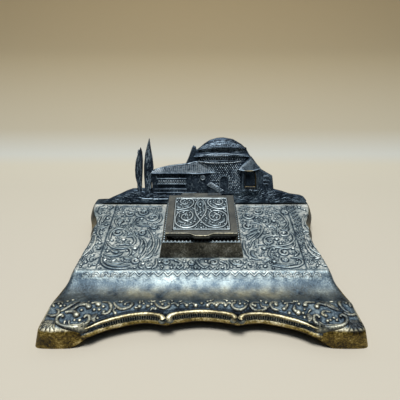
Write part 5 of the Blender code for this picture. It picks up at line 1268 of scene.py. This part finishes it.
def relief_forms():
    """The masses of the relief, from its back plate to what stands in front."""
    forms = Forms()
    forms.raised(SKYLINE, -RELIEF_THICKNESS, 0.0, 0.22, 0.3)
    forms.raised(LEFT_TREE, -2.2, 1.0, 0.18, 0.26)
    forms.raised(RIGHT_TREE, -2.2, 1.5, 0.18, 0.26)
    forms.raised(GROUND, -1.0, 0.9, 0.22, 0.3)
    forms.raised(TURRET, -1.0, 1.3, 0.2, 0.3)
    forms.raised(HOUSE_WALL, -1.0, 1.7, 0.2, 0.24, ((WINDOW_BAND, 1.1), (LOW_BAND, 0.9)))
    forms.raised(WING, -1.0, 1.1, 0.24, 0.34)
    drum = [(DRUM_LEFT, 33.0), (DRUM_RIGHT, 33.0)], [(DRUM_LEFT + 1.5, 46.6), (DRUM_RIGHT - 2.5, 46.6)]
    forms.sheet(*drum, (0.7, 0.5), 0.12, swell=DRUM_SWELL - 0.9)
    base = [(3.0, 9.0), (36.0, 9.0)], [(DRUM_LEFT, 35.4), (DRUM_RIGHT - 1.0, 35.4)]
    forms.sheet(*base, (0.9, 0.9), 0.3, swell=1.6)
    forms.sheet(CAP_EDGE, CAP_TOP, (1.7, 0.4), 0.24, rows=10, swell=DRUM_SWELL)
    forms.sheet(TIER_EDGE, TIER_TOP, (1.8, 1.0), 0.3, rows=3, swell=DRUM_SWELL - 0.4)
    cornice_top = [(x, s + 0.9) for x, s in CORNICE]
    forms.sheet(CORNICE, cornice_top, (1.4, 1.2), 0.5, rows=2, swell=DRUM_SWELL - 0.8)
    forms.sheet(ROOF_EAVE, ROOF_TOP, (2.9, 1.5), 0.62, rows=4)
    forms.raised(PAVILION_WALL, -1.0, 3.9, 0.2, 0.3, ((WINDOW, 2.2),))
    forms.sheet(PAVILION_EAVE, PAVILION_TOP, (4.6, 3.0), 0.46, columns=14, swell=0.7)
    forms.raised(STAIR, -1.0, 2.8, 0.5, 0.85)
    half = FLANGE_HALF_WIDTH
    forms.raised([(-half, -1.3), (half, -1.3), (half, 1.5), (-half, 1.5)], -5.9, -1.2, 0.2, 0.2)
    return forms


def add_relief_details(carving):
    """Roof ribs, cornices, stones, doorway, window frame, bark, and strata on the ground."""
    rng = np.random.default_rng(11)
    add_house_details(carving, rng)
    add_dome_details(carving, rng)
    add_pavilion_details(carving)
    add_ground_details(carving, rng)


def add_house_details(carving, rng):
    """The house's roof ribs, mouldings, consoles and stones, and the stair."""
    for x in np.arange(-38.0, 9.6, 1.55):
        top = float(np.interp(x, *np.array(ROOF_TOP).T)) - 0.5
        lean = 0.8 * (x + 3.7) / 14
        carving.stem(((x + lean, 26.6), (x, top)), 0.34, 0.4, 0.95, 0.8)
    carving.stem([(x, s - 0.1) for x, s in ROOF_TOP], 0.4, 0.35, 0.75, 0.8)
    carving.stem([(x, s + 0.35) for x, s in ROOF_EAVE], 0.42, 0.4, 0.5, 0.8)
    carving.stem(((-3.7, 35.0), (-3.4, 26.2)), 0.4, 0.4, 0.75, 0.8)
    for x in np.arange(-34.2, -13.0, 1.9):
        carving.stem(((x - 0.8, 17.7), (x, 20.0), (x + 0.8, 17.7)), 0.34, 0.5, 0.85, 0.8)
        carving.berry(x, 17.4, 0.4, 0.5, 0.8)
    courses = ((21.4, -36, -12), (16.9, -36, -12), (12.6, -38, -12), (9.6, -39, -4), (6.4, -40, -8))
    for s, left, right in courses:
        carving.stem(((left, s), ((left + right) / 2, s + 0.1), (right, s)), 0.34, 0.4, 0.55, 0.8)
    for _ in range(110):
        x, s = rng.uniform(-38.0, 3.0), rng.uniform(5.0, 24.5)
        if WINDOW_BAND[0][0] - 0.5 < x < WINDOW_BAND[1][0] + 0.5 and 12.8 < s < 16.8:
            continue
        tip = (x + rng.uniform(-0.7, 0.7), s + rng.uniform(1.0, 2.2))
        carving.stem(((x, s), tip), rng.uniform(0.25, 0.45), 0.3, rng.uniform(0.35, 0.75), 0.5)
    for x in (-30.2, -24.4, -18.6):
        carving.stem(((x, 22.8), (x, 24.8)), 0.35, 0.9, 0.3, 0.8)
    carving.stem(((-49.0, 4.0), (-38.0, 3.9), (-27.4, 4.1)), 0.7, 0.9, 0.75, 0.7)
    for reach in np.linspace(0.08, 0.94, 7):
        a = np.array(STAIR[0]) * (1 - reach) + np.array(STAIR[3]) * reach
        b = np.array(STAIR[1]) * (1 - reach) + np.array(STAIR[2]) * reach
        carving.stem((a, (a + b) / 2, b), 0.3, 0.5, 0.8, 0.9)


# Rows of beads round the dome, as height, half span and pitch, and its mouldings, as height, half
# span and how worn they are
DOME_BEADS = ((41, 20.5, 1.5), (38.4, 19, 1.9), (47.3, 16, 1.6))
DOME_MOULDINGS = (
    (36.9, 17.5, 0.5), (39.4, 18.5, 0.6), (42.4, 18, 0.7), (44.6, 18, 0.45), (46, 17, 0.65),
    (48.6, 14, 0.4), (50.4, 11.5, 0.5), (52, 8, 0.45),
)


def add_dome_details(carving, rng):
    """The dome's beads, mouldings, arches, ribs and strokes, and the stones and doorway below it."""
    for k in range(27):
        x = CORNICE[0][0] + 1.0 + (CORNICE[-1][0] - CORNICE[0][0] - 2.0) * (k / 26)
        carving.berry(x, float(np.interp(x, *np.array(CORNICE).T)) + 0.3, 0.52, 0.7, 0.95)
    for s, span, pitch in DOME_BEADS:
        for x in np.arange(DOME_X - span, DOME_X + span, pitch):
            carving.berry(x, s - dome_sag(x, span), 0.5, 0.45, 0.8)
    for s, span, worn in DOME_MOULDINGS:
        xs = DOME_X + np.linspace(-span, span, 9)
        carving.stem([(x, s - dome_sag(x, span)) for x in xs], 0.36, 0.35, worn, 0.7)
    arc = round_points(np.radians(np.linspace(10, 170, 12))) * (1.5, 1.3)
    for x in np.arange(2.0, 34.0, 4.3):
        carving.ridge(arc + (x, 43.9), 0.3, 0.45, 0.55)
    for x in np.arange(-1.0, 34.5, 2.2):
        away = x - DOME_X
        foot, peak = 47.6 - 0.004 * away**2, 53.4 - 0.012 * away**2
        top = DOME_X + away * 0.42
        carving.stem(((x, foot), ((x + top) / 2, (47.6 + peak) / 2 + 0.8), (top, peak)), 0.3, 0.25, 0.55, 0.7)
    for _ in range(230):
        s = rng.uniform(35.0, 52.6)
        half = 18.5 * math.sqrt(max(0.0, 1 - ((s - 35.0) / 19.5) ** 2))
        x = DOME_X + rng.uniform(-half, half)
        reach = rng.uniform(0.6, 2.6)
        fall = DOME_SAG * reach * (x - DOME_X) / 170 + rng.uniform(-0.25, 0.25)
        stroke = ((x - reach, s + fall), (x, s + 0.1), (x + reach, s - fall))
        carving.stem(stroke, 0.34, 0.3, rng.choice((0.04, 0.08, 0.2, 0.5)), 0.5)
    for row, s in enumerate(np.arange(13.2, 33.6, 1.35)):
        for x in np.arange(6.5 + (row % 2) * 0.8, 32.0, 1.6):
            beside = (x - DOOR_X) ** 2 + (max(0.0, s - DOOR_SPRING)) ** 2 < (DOOR_HALF_WIDTH + 1.3) ** 2
            if beside or (x < 12 and s < 19):
                continue
            size = rng.uniform(0.5, 0.72)
            spot = (x + rng.uniform(-0.15, 0.15), s + rng.uniform(-0.15, 0.15))
            carving.berry(*spot, size, 0.55, rng.uniform(0.35, 0.85))
    door = arch(DOOR_HALF_WIDTH + 0.4, DOOR_X, DOOR_FOOT, DOOR_SPRING)
    carving.ridge(evenly(door, 0.5), 0.55, 0.7, 0.7)
    for x, s in round_points(np.linspace(0.0, math.pi, 9), 4.7, (DOOR_X, DOOR_SPRING)):
        carving.berry(x, s, 0.6, 0.6, 0.85)


def add_pavilion_details(carving):
    """The pavilion's window frame, corners, roof and roundel, and the openings beside it."""
    carving.ridge(evenly([*WINDOW, WINDOW[0]], 0.5), 0.5, 0.6, 0.26)
    for x in (33.4, 45.7):
        carving.stem(((x, 12.2), (x, 28.6)), 0.5, 0.5, 0.45, 0.8)
    for x in np.arange(30.2, 46.8, 1.5):
        top = 38.6 + (x - 38.7) * 0.16
        carving.stem(((x, 30.1), (38.7 + (x - 38.7) * 0.15, top - 0.6)), 0.3, 0.25, 0.7, 0.8)
    carving.stem([(x, s + 0.2) for x, s in PAVILION_EAVE], 0.5, 0.5, 0.55, 0.8)
    carving.berry(*ROUNDEL, 2.1, 0.9, 0.5)
    carving.ridge(round_points(np.linspace(0, 2 * math.pi, 20), 1.7, ROUNDEL), 0.4, 0.9, 0.95)
    for s in (22.4, 18.8, 15.8):
        carving.stem(((50.6, s), (52.6, s + 0.2), (54.6, s - 0.3)), 0.5, 0.5, 0.1, 0.8)
        carving.stem(((50.4, s + 1.1), (52.6, s + 1.3), (55.0, s + 0.8)), 0.3, 0.5, 0.6, 0.8)


def add_ground_details(carving, rng):
    """Bark on the trees, strata on the ground and rubble at its right."""
    for outline in (LEFT_TREE, RIGHT_TREE):
        edge = np.array(outline)
        middle, tip = edge[:, 0].mean(), edge[:, 1].max()
        for _ in range(46):
            s = rng.uniform(8.0, tip - 4.0)
            half = 2.6 * math.sin(math.pi * min(0.96, s / tip + 0.06)) ** 0.6
            x = middle + rng.uniform(-0.8, 0.8) * half
            bark = ((x, s), (x + rng.uniform(-0.2, 0.5), s + 1.6), (x + rng.uniform(-0.2, 0.5), s + 3.0))
            carving.leaf(bark, 0.5, 0.4, 0.6, 0.0)
    for _ in range(230):
        x = rng.uniform(-76.0, 79.0)
        top = float(np.interp(x, *np.array(GROUND[:12]).T)) - 1.0
        if top < 1.0:
            continue
        s = rng.uniform(0.8, top)
        reach = rng.uniform(2.0, 5.5)
        slope = rng.uniform(-0.25, 0.25)
        stratum = ((x, s), (x + reach / 2, s + 0.4), (x + reach, s + slope * reach))
        carving.stem(stratum, 0.38, 0.45, rng.uniform(0.25, 0.62), 0.4)
    for _ in range(120):
        x = rng.uniform(24.0, 60.0)
        s = rng.uniform(2.0, 11.5)
        turn = rng.uniform(0.7, 2.5)
        middle = (x + 1.2 * math.cos(turn), s + 1.3 * math.sin(turn))
        end = (x + 3.4 * math.cos(turn - 0.3), s + 2.4 * math.sin(turn - 0.3))
        carving.stem(((x, s), middle, end), 0.3, 0.4, rng.uniform(0.35, 0.75), 0.4)


def make_relief():
    """The relief's forms and their details, leant back at their place."""
    body = relief_forms().made("relief_scene")
    details = Carving(surface_of(body, 20.0, -100.0, level(0.0)), 0.3)
    add_relief_details(details)
    extras = details.made("relief_details")
    tint(body)
    tint(extras, np.where(window_zone(points_of(extras)), 0.7, 0.0))
    return lean_back(body), lean_back(extras)


def window_zone(spots):
    """True for points by the pavilion's window, whose frame is worn to brass."""
    x, s, _ = spots.T
    return (x > 34.4) & (x < 45.0) & (s > 13.8) & (s < 29.4)


relief_pieces = make_relief()
for piece in relief_pieces:
    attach(piece, "base")
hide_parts("backdrop")

# Lid panel and rims
PANEL_STEMS = (
    ((-0.8, 34.4), (-3.2, 29.5), (-4.6, 24), (-4.6, 18), (-3.6, 12), (-1.5, 6.5), (1.5, 1),
     (5, -2.6), (11, -3.8), (16.2, -1.4), (18, 5), (17.6, 12), (13.7, 16.4), (8.6, 17.4)),
    ((-0.2, 34.4), (2.4, 28), (3.4, 21.5), (3.1, 15.5), (1.2, 9.5), (-1.4, 4), (-4.8, -1.6),
     (-9, -3.8), (-14, -3.2), (-17.4, 0.4), (-18.3, 6.1), (-17.4, 12), (-14.5, 16.2), (-9.1, 17.4)),
    ((-18.2, 18.2), (-12.4, 19.4), (-7.8, 22.2), (-5.6, 27.5), (-6.8, 32.2), (-10.8, 33.8), (-14.8, 32),
     (-15.6, 28.4), (-13.4, 25.8), (-10.4, 26.4), (-10, 29)),
    ((17.6, 19.6), (11.6, 20), (7.4, 22.4), (5, 27.2), (5.8, 32), (9.6, 33.8), (14.6, 32.4),
     (16, 28.4), (13.8, 25.4), (10.6, 26), (10.2, 28.8)),
    ((-8.6, 16.8), (-6.2, 12.4), (-7.1, 7), (-10.6, 4.6), (-13.9, 7), (-13.2, 11.4), (-10.4, 12.4),
     (-9.6, 9.8)),
    ((8, 16.8), (5.6, 12.4), (6.2, 7), (9.4, 4.6), (12.8, 6.6), (13, 11), (10.2, 12.6), (9, 10)),
)
PANEL_LEAVES = (
    ((-0.7, 30.6), (-2.9, 26.8), (-2.2, 22.8)), ((-0.7, 30.6), (1.6, 26.8), (0.9, 22.8)),
    ((-14.4, -0.6), (-9.4, -1.4), (-5, 1.6)), ((13.6, -0.8), (8.6, -1.2), (4, 1.8)),
    ((-16.6, 7), (-15.4, 3.6), (-12, 1.8)), ((16.2, 7.6), (15.2, 3.6), (11.8, 1.8)),
    ((-12.8, 22), (-10, 23.4), (-8.4, 26)), ((12.2, 22.4), (9.4, 23.8), (8, 26.4)),
    ((-18, 24), (-17.2, 21.4), (-14.4, 20.8)), ((17.8, 24.4), (17.2, 22), (14.2, 21.6)),
)
PANEL_BERRIES = (
    (-0.7, 25.4, 1.1), (-3.2, 17.2, 0.9), (1.8, 17.4, 0.9), (-0.8, 20.6, 0.9), (-0.8, 14.2, 0.8),
    (-0.3, 10.4, 0.9), (-18, 33.2, 1.2), (-18.2, 28.6, 1), (-17.2, 14.8, 0.8), (-3.2, 33, 0.8),
    (1.8, 33.2, 0.8), (-9.8, 21.6, 0.7), (18, 33.2, 1.2), (18.2, 28.8, 1), (17.8, 16, 0.8),
    (-5.4, 19.6, 0.8), (4.8, 19.8, 0.8), (-18, -4.6, 0.9), (18, -4.6, 0.9), (-0.2, -4.2, 1),
    (-0.2, 2, 0.8), (-13, 14.4, 0.9), (12.4, 14.6, 0.9), (-16, 34.1, 0.6), (-9, 30.6, 0.8),
    (9.2, 30.8, 0.8), (-15.6, 9.6, 0.8), (15.4, 10.2, 0.8), (-4.4, 6, 0.8), (3.8, 6.4, 0.8),
)
PANEL_BORDER = 0.5  # half width of the raised border
PANEL_BORDER_INSET = 0.6
LIP_REACH = 2.7
LIP_FLAT, LIP_END = 4.4, 8.0
BEAD_PITCH = 2.6
RIM_SIDE, RIM_FRONT = 2.7, 1.5  # from the ink box's widest stretch to its rim
RIM_BEAD_INSET = 0.9


def make_panel():
    """The chased panel of the lid: a plate with a raised border, and scrolls in one piece."""
    low, high = PANEL_LOW, PANEL_HIGH
    columns, rows = 70, 72
    xs, ys = np.linspace(low.x, high.x, columns), np.linspace(low.y, high.y, rows)
    x, y = (a.ravel() for a in np.meshgrid(xs, ys))
    carving = Carving(level(high.z - 0.1), 0.25)
    for knots in PANEL_STEMS:
        carving.stem(knots, 0.7, 0.5, 1.0, 0.6)
    for knots in PANEL_LEAVES:
        carving.leaf(knots, 1.2, 0.55)
    for berry in PANEL_BERRIES:
        carving.berry(*berry, worn=0.75)
    left, right = low.x + PANEL_BORDER_INSET, high.x - PANEL_BORDER_INSET
    front, rear = low.y + PANEL_BORDER_INSET, high.y - PANEL_BORDER_INSET
    border = [(left, front), (right, front), (right, rear), (left, rear)]
    for a, b in zip(border, border[1:] + border[:1]):
        carving.ridge(evenly([a, b], 0.8), PANEL_BORDER, 0.35, 1.0)
    carving.fill(panel_spots(low.x + 1.6, high.x - 1.6, low.y + 1.6, high.y - 1.6), 1.9, 0.75, 5)
    near = TraceTree(carving.traces).clearances(x, y)
    # Darker beside each scroll: patina in the crevice, and painted shade at its foot.
    wear = 0.48 * (1 - 0.9 * bell(near, 0.0, 0.6))
    top = np.column_stack([x, y, np.full(len(x), high.z - 0.1)])
    rim = grid_rim(rows, columns)
    below = top[rim] * (1, 1, 0) + (0, 0, low.z)
    lower = list(range(len(top), len(top) + len(rim)))
    faces = grid_faces(rows, columns) + joined_rims(rim, lower) + [tuple(reversed(lower))]
    panel = new_mesh("lid_panel_plate", np.vstack([top, below]), faces, [*wear, *([0.2] * len(rim))])
    return panel, carving.made("lid_panel_scrolls")


def make_lid_edge():
    """A worn, bright bead along the lid's front edge and its thumb lip."""
    front = LID_LOW.y + LIP_REACH
    line = [(LID_LOW.x + 0.3, front), (-LIP_END, front), (-LIP_FLAT, LID_LOW.y), (LIP_FLAT, LID_LOW.y),
            (LIP_END, front), (LID_HIGH.x - 0.3, front)]
    line = blurred(evenly(line, 0.5), 2.0, closed=False) + (0.0, 0.45)
    carving = Carving(level(LID_HIGH.z - 0.1), 0.4)
    carving.ridge(line, 0.5, 0.3, 1.0)
    return carving.made("lid_front_bead")


def make_rim_beads():
    """Beads round the rim of the ink box, on its front and its sides."""
    inset = RIM_BEAD_INSET
    left, right = BOX_LOW.x + RIM_SIDE + inset, BOX_HIGH.x - RIM_SIDE - inset
    front = BOX_LOW.y + RIM_FRONT + inset
    carving = Carving(level(BOX_HIGH.z), 0.2)
    count = round((right - left) / BEAD_PITCH)
    for k in range(count + 1):
        carving.berry(left + (right - left) * k / count, front, 1.15, 0.8, 0.7)
    for x in (left, right):
        for y in np.arange(front + BEAD_PITCH, BOX_HIGH.y - 2.0, BEAD_PITCH):
            carving.berry(x, y, 1.1, 0.8, 0.65)
    edge = evenly([(left - inset, front - inset), (right + inset, front - inset)], 0.8)
    carving.ridge(edge, 0.35, 0.25, 0.85)
    return carving.made("ink_box_rim_beads")


panel_plate, panel_scrolls = make_panel()
lid_bead = make_lid_edge()
rim_beads = make_rim_beads()
for piece, body, slot in (
    (panel_plate, "lid", "panel_brass"), (panel_scrolls, "lid", "panel_brass"),
    (lid_bead, "lid", "lid_brass"), (rim_beads, "base", "dark_brass"),
):
    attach(piece, body)
    tint(piece, 0.55 if piece == lid_bead else 0.0)
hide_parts("lid_panel")


# Materials
def add_node(tree, kind, inputs=None, **settings):
    """A shader node. An input is a value or another node's socket."""
    made = tree.nodes.new(kind)
    for name, value in settings.items():
        setattr(made, name, value)
    for name, value in (inputs or {}).items():
        if isinstance(value, bpy.types.NodeSocket):
            tree.links.new(value, made.inputs[name])
        else:
            made.inputs[name].default_value = value
    return made


def add_ramp(tree, value, stops):
    """A colour ramp. stops is ((position, grey or colour), ...)."""
    made = add_node(tree, "ShaderNodeValToRGB", {"Fac": value})
    while len(made.color_ramp.elements) < len(stops):
        made.color_ramp.elements.new(0.5)
    for element, (position, colour) in zip(made.color_ramp.elements, stops):
        element.position = position
        colour = colour if isinstance(colour, tuple) else (colour,) * 3
        element.color = (*colour, 1.0)
    return made.outputs["Color"]


def add_math(tree, a, b, operation="ADD"):
    """Two values or sockets added up, or joined by another operation."""
    return add_node(tree, "ShaderNodeMath", {0: a, 1: b}, operation=operation).outputs[0]


def add_mix(tree, share, a, b):
    """The colour a with a share of b."""
    made = add_node(tree, "ShaderNodeMix", data_type="RGBA")
    for name, value in ((0, share), (6, a), (7, b)):
        if isinstance(value, bpy.types.NodeSocket):
            tree.links.new(value, made.inputs[name])
        else:
            made.inputs[name].default_value = (*value, 1.0) if isinstance(value, tuple) else value
    return made.outputs[2]


def add_noise(tree, place, size, detail, low=0.3, high=0.7):
    """Noise from 0 to 1 with features of about size millimetres."""
    inputs = {"Vector": place, "Scale": 1.0 / (size * MM), "Detail": detail}
    made = add_node(tree, "ShaderNodeTexNoise", inputs)
    return add_ramp(tree, made.outputs["Fac"], ((low, 0.0), (high, 1.0)))


def four_shades(*colours):
    """The stops of a ramp from dark recesses to worn crests."""
    return tuple(zip((0.0, 0.3, 0.6, 1.0), colours))


GILT_SHADES = (
    (0, (0.022, 0.015, 0.005)), (0.35, (0.145, 0.100, 0.018)), (0.6, (0.34, 0.255, 0.07)),
    (1, (0.82, 0.74, 0.48)),
)
STAIN_AND_REFLECTION = (0.27, 0.245, 0.15)


def cast_metal(name, shades, roughness, worn=None, stain_and_reflection=STAIN_AND_REFLECTION, metallic=0.85, bump=0.25, mottle=0.35,
               dark=()):
    """Cast metal whose colour runs from its dark recesses to its worn crests. worn is how worn it
    is all over, where no wear was stored. The stored wear also holds painted highlights and painted
    shade, and the stored stain a painted reflection. It goes dark along each axis of dark, between
    two places in millimetres."""
    made = bpy.data.materials.new(name)
    made.use_nodes = True
    tree = made.node_tree
    shader = tree.nodes["Principled BSDF"]
    place = add_node(tree, "ShaderNodeTexCoord").outputs["Object"]
    broad = add_noise(tree, place, 9.0, 5.0)
    fine = add_noise(tree, place, 1.1, 6.0, 0.25, 0.75)
    spots = add_noise(tree, place, 2.6, 8.0, 0.55, 0.68)
    shift = add_math(tree, add_math(tree, broad, fine), -1.0)
    if worn is None:
        level, gilt, stain_and_reflection_share = (
            add_node(tree, "ShaderNodeAttribute", attribute_name=stored).outputs["Fac"]
            for stored in ("wear", "gilt", "stain_and_reflection")
        )
    else:
        level, gilt, stain_and_reflection_share = worn, 0.0, 0.35
    level = add_math(tree, level, add_math(tree, shift, mottle * 0.35, "MULTIPLY"))
    level.node.use_clamp = True
    colour = add_ramp(tree, level, shades)
    gold = add_ramp(tree, add_math(tree, level, add_math(tree, shift, 0.45, "MULTIPLY")), GILT_SHADES)
    colour = add_mix(tree, add_math(tree, spots, mottle, "MULTIPLY"), colour, shades[1][1])
    colour = add_mix(tree, gilt, colour, gold)
    soil_and_reflection = add_math(tree, add_math(tree, stain_and_reflection_share, broad, "MULTIPLY"), 0.75, "MULTIPLY")
    colour = add_mix(tree, soil_and_reflection, colour, stain_and_reflection)
    for axis, start, end in dark:
        along = add_node(tree, "ShaderNodeSeparateXYZ", {0: place}).outputs[axis]
        reach = {"Value": along, "From Min": start * MM, "From Max": end * MM, "To Max": 0.85}
        colour = add_mix(tree, add_node(tree, "ShaderNodeMapRange", reach).outputs[0], colour, shades[0][1])
    tree.links.new(colour, shader.inputs["Base Color"])
    reach = {"Value": fine, "To Min": roughness, "To Max": roughness + 0.18}
    rough = add_node(tree, "ShaderNodeMapRange", reach)
    tree.links.new(rough.outputs[0], shader.inputs["Roughness"])
    shader.inputs["Metallic"].default_value = metallic
    raised = add_node(tree, "ShaderNodeBump", {"Height": fine, "Strength": bump, "Distance": 0.2 * MM})
    tree.links.new(raised.outputs[0], shader.inputs["Normal"])
    return made


PLATE_SHADES = four_shades(
    (0.008, 0.013, 0.020), (0.064, 0.098, 0.130), (0.285, 0.355, 0.376), (0.92, 0.94, 0.88)
)
RELIEF_SHADES = four_shades(
    (0.003, 0.006, 0.011), (0.036, 0.057, 0.086), (0.19, 0.265, 0.34), (0.68, 0.79, 0.88)
)
FORM_SHADES = four_shades(
    (0.005, 0.008, 0.014), (0.065, 0.095, 0.13), (0.33, 0.43, 0.52), (0.92, 0.98, 1.0)
)
PANEL_SHADES = four_shades(
    (0.006, 0.009, 0.012), (0.083, 0.112, 0.130), (0.33, 0.41, 0.45), (0.92, 0.99, 0.99)
)
LID_SHADES = four_shades(
    (0.02, 0.022, 0.022), (0.085, 0.092, 0.092), (0.19, 0.20, 0.20), (0.75, 0.74, 0.66)
)
BOX_SHADES = four_shades(
    (0.016, 0.012, 0.009), (0.060, 0.052, 0.040), (0.16, 0.145, 0.11), (0.60, 0.56, 0.48)
)
BRASS_SHADES = four_shades(
    (0.03, 0.026, 0.018), (0.10, 0.085, 0.055), (0.27, 0.235, 0.16), (0.66, 0.60, 0.46)
)
GLASS_SHADES = four_shades(
    (0.002, 0.002, 0.003), (0.004, 0.004, 0.005), (0.008, 0.008, 0.01), (0.02, 0.02, 0.024)
)
# Dark at the lid's knuckles behind the front of the hinge, and painted shade on its sides and underside below
# its top.
LID_DARKNESS = (("Y", HINGE_FRONT, HINGE_FRONT + 1.0), ("Z", LID_MARGIN_TOP - 0.4, LID_MARGIN_TOP - 0.9))
AGED = cast_metal("aged_brass_cast", PLATE_SHADES, 0.44, bump=0.5, mottle=0.9)
BLACKENED = cast_metal("blackened_relief", RELIEF_SHADES, 0.5, mottle=1.0)
RELIEF_FORMS = cast_metal("blackened_relief_details", FORM_SHADES, 0.42, mottle=0.8)
SILVERED = cast_metal("silvered_panel", PANEL_SHADES, 0.38)
WORN_RIM = cast_metal("worn_rim", PANEL_SHADES, 0.3)
TAUPE = cast_metal("taupe_lid", LID_SHADES, 0.42, 0.46, mottle=0.6, dark=LID_DARKNESS)
BROWN = cast_metal("brown_ink_box", BOX_SHADES, 0.42, 0.55, (0.10, 0.11, 0.10), bump=0.5, mottle=1.5)
BRASS = cast_metal("turned_brass", BRASS_SHADES, 0.3, 0.55)
DARK_HINGE = cast_metal("dark_hinge", RELIEF_SHADES, 0.5, 0.12, mottle=0.8)
POT = cast_metal("black_pot", GLASS_SHADES, 0.1, 0.4, (0.004, 0.004, 0.005), metallic=0.0, bump=0.05)
for piece, material in (
    (plate, AGED), (scrolls, AGED), (bars, AGED), (relief_pieces[0], BLACKENED),
    (relief_pieces[1], RELIEF_FORMS), (panel_plate, SILVERED), (panel_scrolls, SILVERED),
    (lid_bead, WORN_RIM), (rim_beads, WORN_RIM),
):
    piece.data.materials.clear()
    piece.data.materials.append(material)
NODE_MATERIALS = {
    "lid": TAUPE, "ink_box": BROWN, "ink_pot": POT, "hinge_leaf": DARK_HINGE, "hinge_pin": DARK_HINGE,
}
for node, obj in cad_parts.items():
    obj.material_slots[0].material = NODE_MATERIALS.get(node, BRASS)

# Studio, in metres. The floor's colours are set towards the rear, as shares of FLOOR_SPAN, and the
# sky's from the front to the rear and up. The floor's colours paint onto it the look of a wall close
# behind the object: a paler band where it would bend up, and tan beyond, with that wall's light and
# shade painted in.
FLOOR_SPAN = 2.0
FLOOR_SHADES = (
    (0, (0.458, 0.428, 0.360)), (0.06, (0.47, 0.44, 0.36)), (0.084, (0.495, 0.465, 0.375)),
    (0.097, (0.48, 0.485, 0.44)), (0.11, (0.46, 0.45, 0.39)), (0.135, (0.42, 0.38, 0.285)),
    (0.33, (0.505, 0.42, 0.265)), (0.8, (0.60, 0.44, 0.22)),
)
SKY = (
    (0, (0.012, 0.012, 0.014)), (0.45, (0.04, 0.045, 0.05)), (0.8, (0.60, 0.70, 0.80)),
    (1, (0.85, 0.93, 1)),
)
SKY_STRENGTH = 0.75
LAMP_PLACE = (-0.03, -0.16, 1.1)
LAMP_WATTS = 15.0
LENS = 36.0  # as wide as the sensor, both in millimetres
CAMERA_PLACE = (-0.001, -0.225, 0.200)
CAMERA_TILT = math.radians(58.0)


def make_studio():
    """A pale floor that curves up into a wall, a large soft light over the front, and a camera."""
    width, front, bend, radius, height = 1.6, -0.6, 0.75, 0.5, 1.6
    profile = [(front, 0.0), (bend, 0.0)]
    for angle in np.linspace(0.0, math.pi / 2, 17)[1:]:
        profile.append((bend + radius * math.sin(angle), radius * (1 - math.cos(angle))))
    profile.append((bend + radius, height))
    points = [(x / MM, y / MM, z / MM) for y, z in profile for x in (-width, width)]
    floor = new_mesh("studio_floor", points, grid_faces(len(profile), 2))
    paint = bpy.data.materials.new("studio_floor")
    paint.use_nodes = True
    tree = paint.node_tree
    shader = tree.nodes["Principled BSDF"]
    place = add_node(tree, "ShaderNodeTexCoord").outputs["Object"]
    along = add_node(tree, "ShaderNodeSeparateXYZ", {0: place}).outputs["Y"]
    along = add_math(tree, along, FLOOR_SPAN, "DIVIDE")
    tree.links.new(add_ramp(tree, along, FLOOR_SHADES), shader.inputs["Base Color"])
    shader.inputs["Roughness"].default_value = 0.9
    floor.data.materials.append(paint)

    world = bpy.data.worlds.new("studio")
    bpy.context.scene.world = world
    world.use_nodes = True
    tree = world.node_tree
    place = add_node(tree, "ShaderNodeTexCoord").outputs["Generated"]
    towards = add_node(tree, "ShaderNodeSeparateXYZ", {0: place}).outputs
    rearwards = add_math(tree, towards["Y"], 0.6, "MULTIPLY")
    sky = add_ramp(tree, add_math(tree, towards["Z"], rearwards), SKY)
    tree.links.new(sky, tree.nodes["Background"].inputs[0])
    tree.nodes["Background"].inputs[1].default_value = SKY_STRENGTH

    lamp = bpy.data.lights.new("front_light", "AREA")
    lamp.energy = LAMP_WATTS
    lamp.shape = "RECTANGLE"
    lamp.size, lamp.size_y = 0.4, 0.3
    lamp.color = (1.0, 0.98, 0.95)
    holder = bpy.data.objects.new("front_light", lamp)
    holder.location = LAMP_PLACE
    holder.rotation_euler = (-holder.location).to_track_quat("-Z", "Y").to_euler()
    bpy.context.scene.collection.objects.link(holder)

    lens = bpy.data.cameras.new("camera")
    lens.sensor_width = lens.lens = LENS
    camera = bpy.data.objects.new("camera", lens)
    camera.location = CAMERA_PLACE
    camera.rotation_euler = (CAMERA_TILT, 0.0, 0.0)
    bpy.context.scene.collection.objects.link(camera)
    bpy.context.scene.camera = camera
    bpy.context.scene.view_settings.view_transform = "Standard"


make_studio()
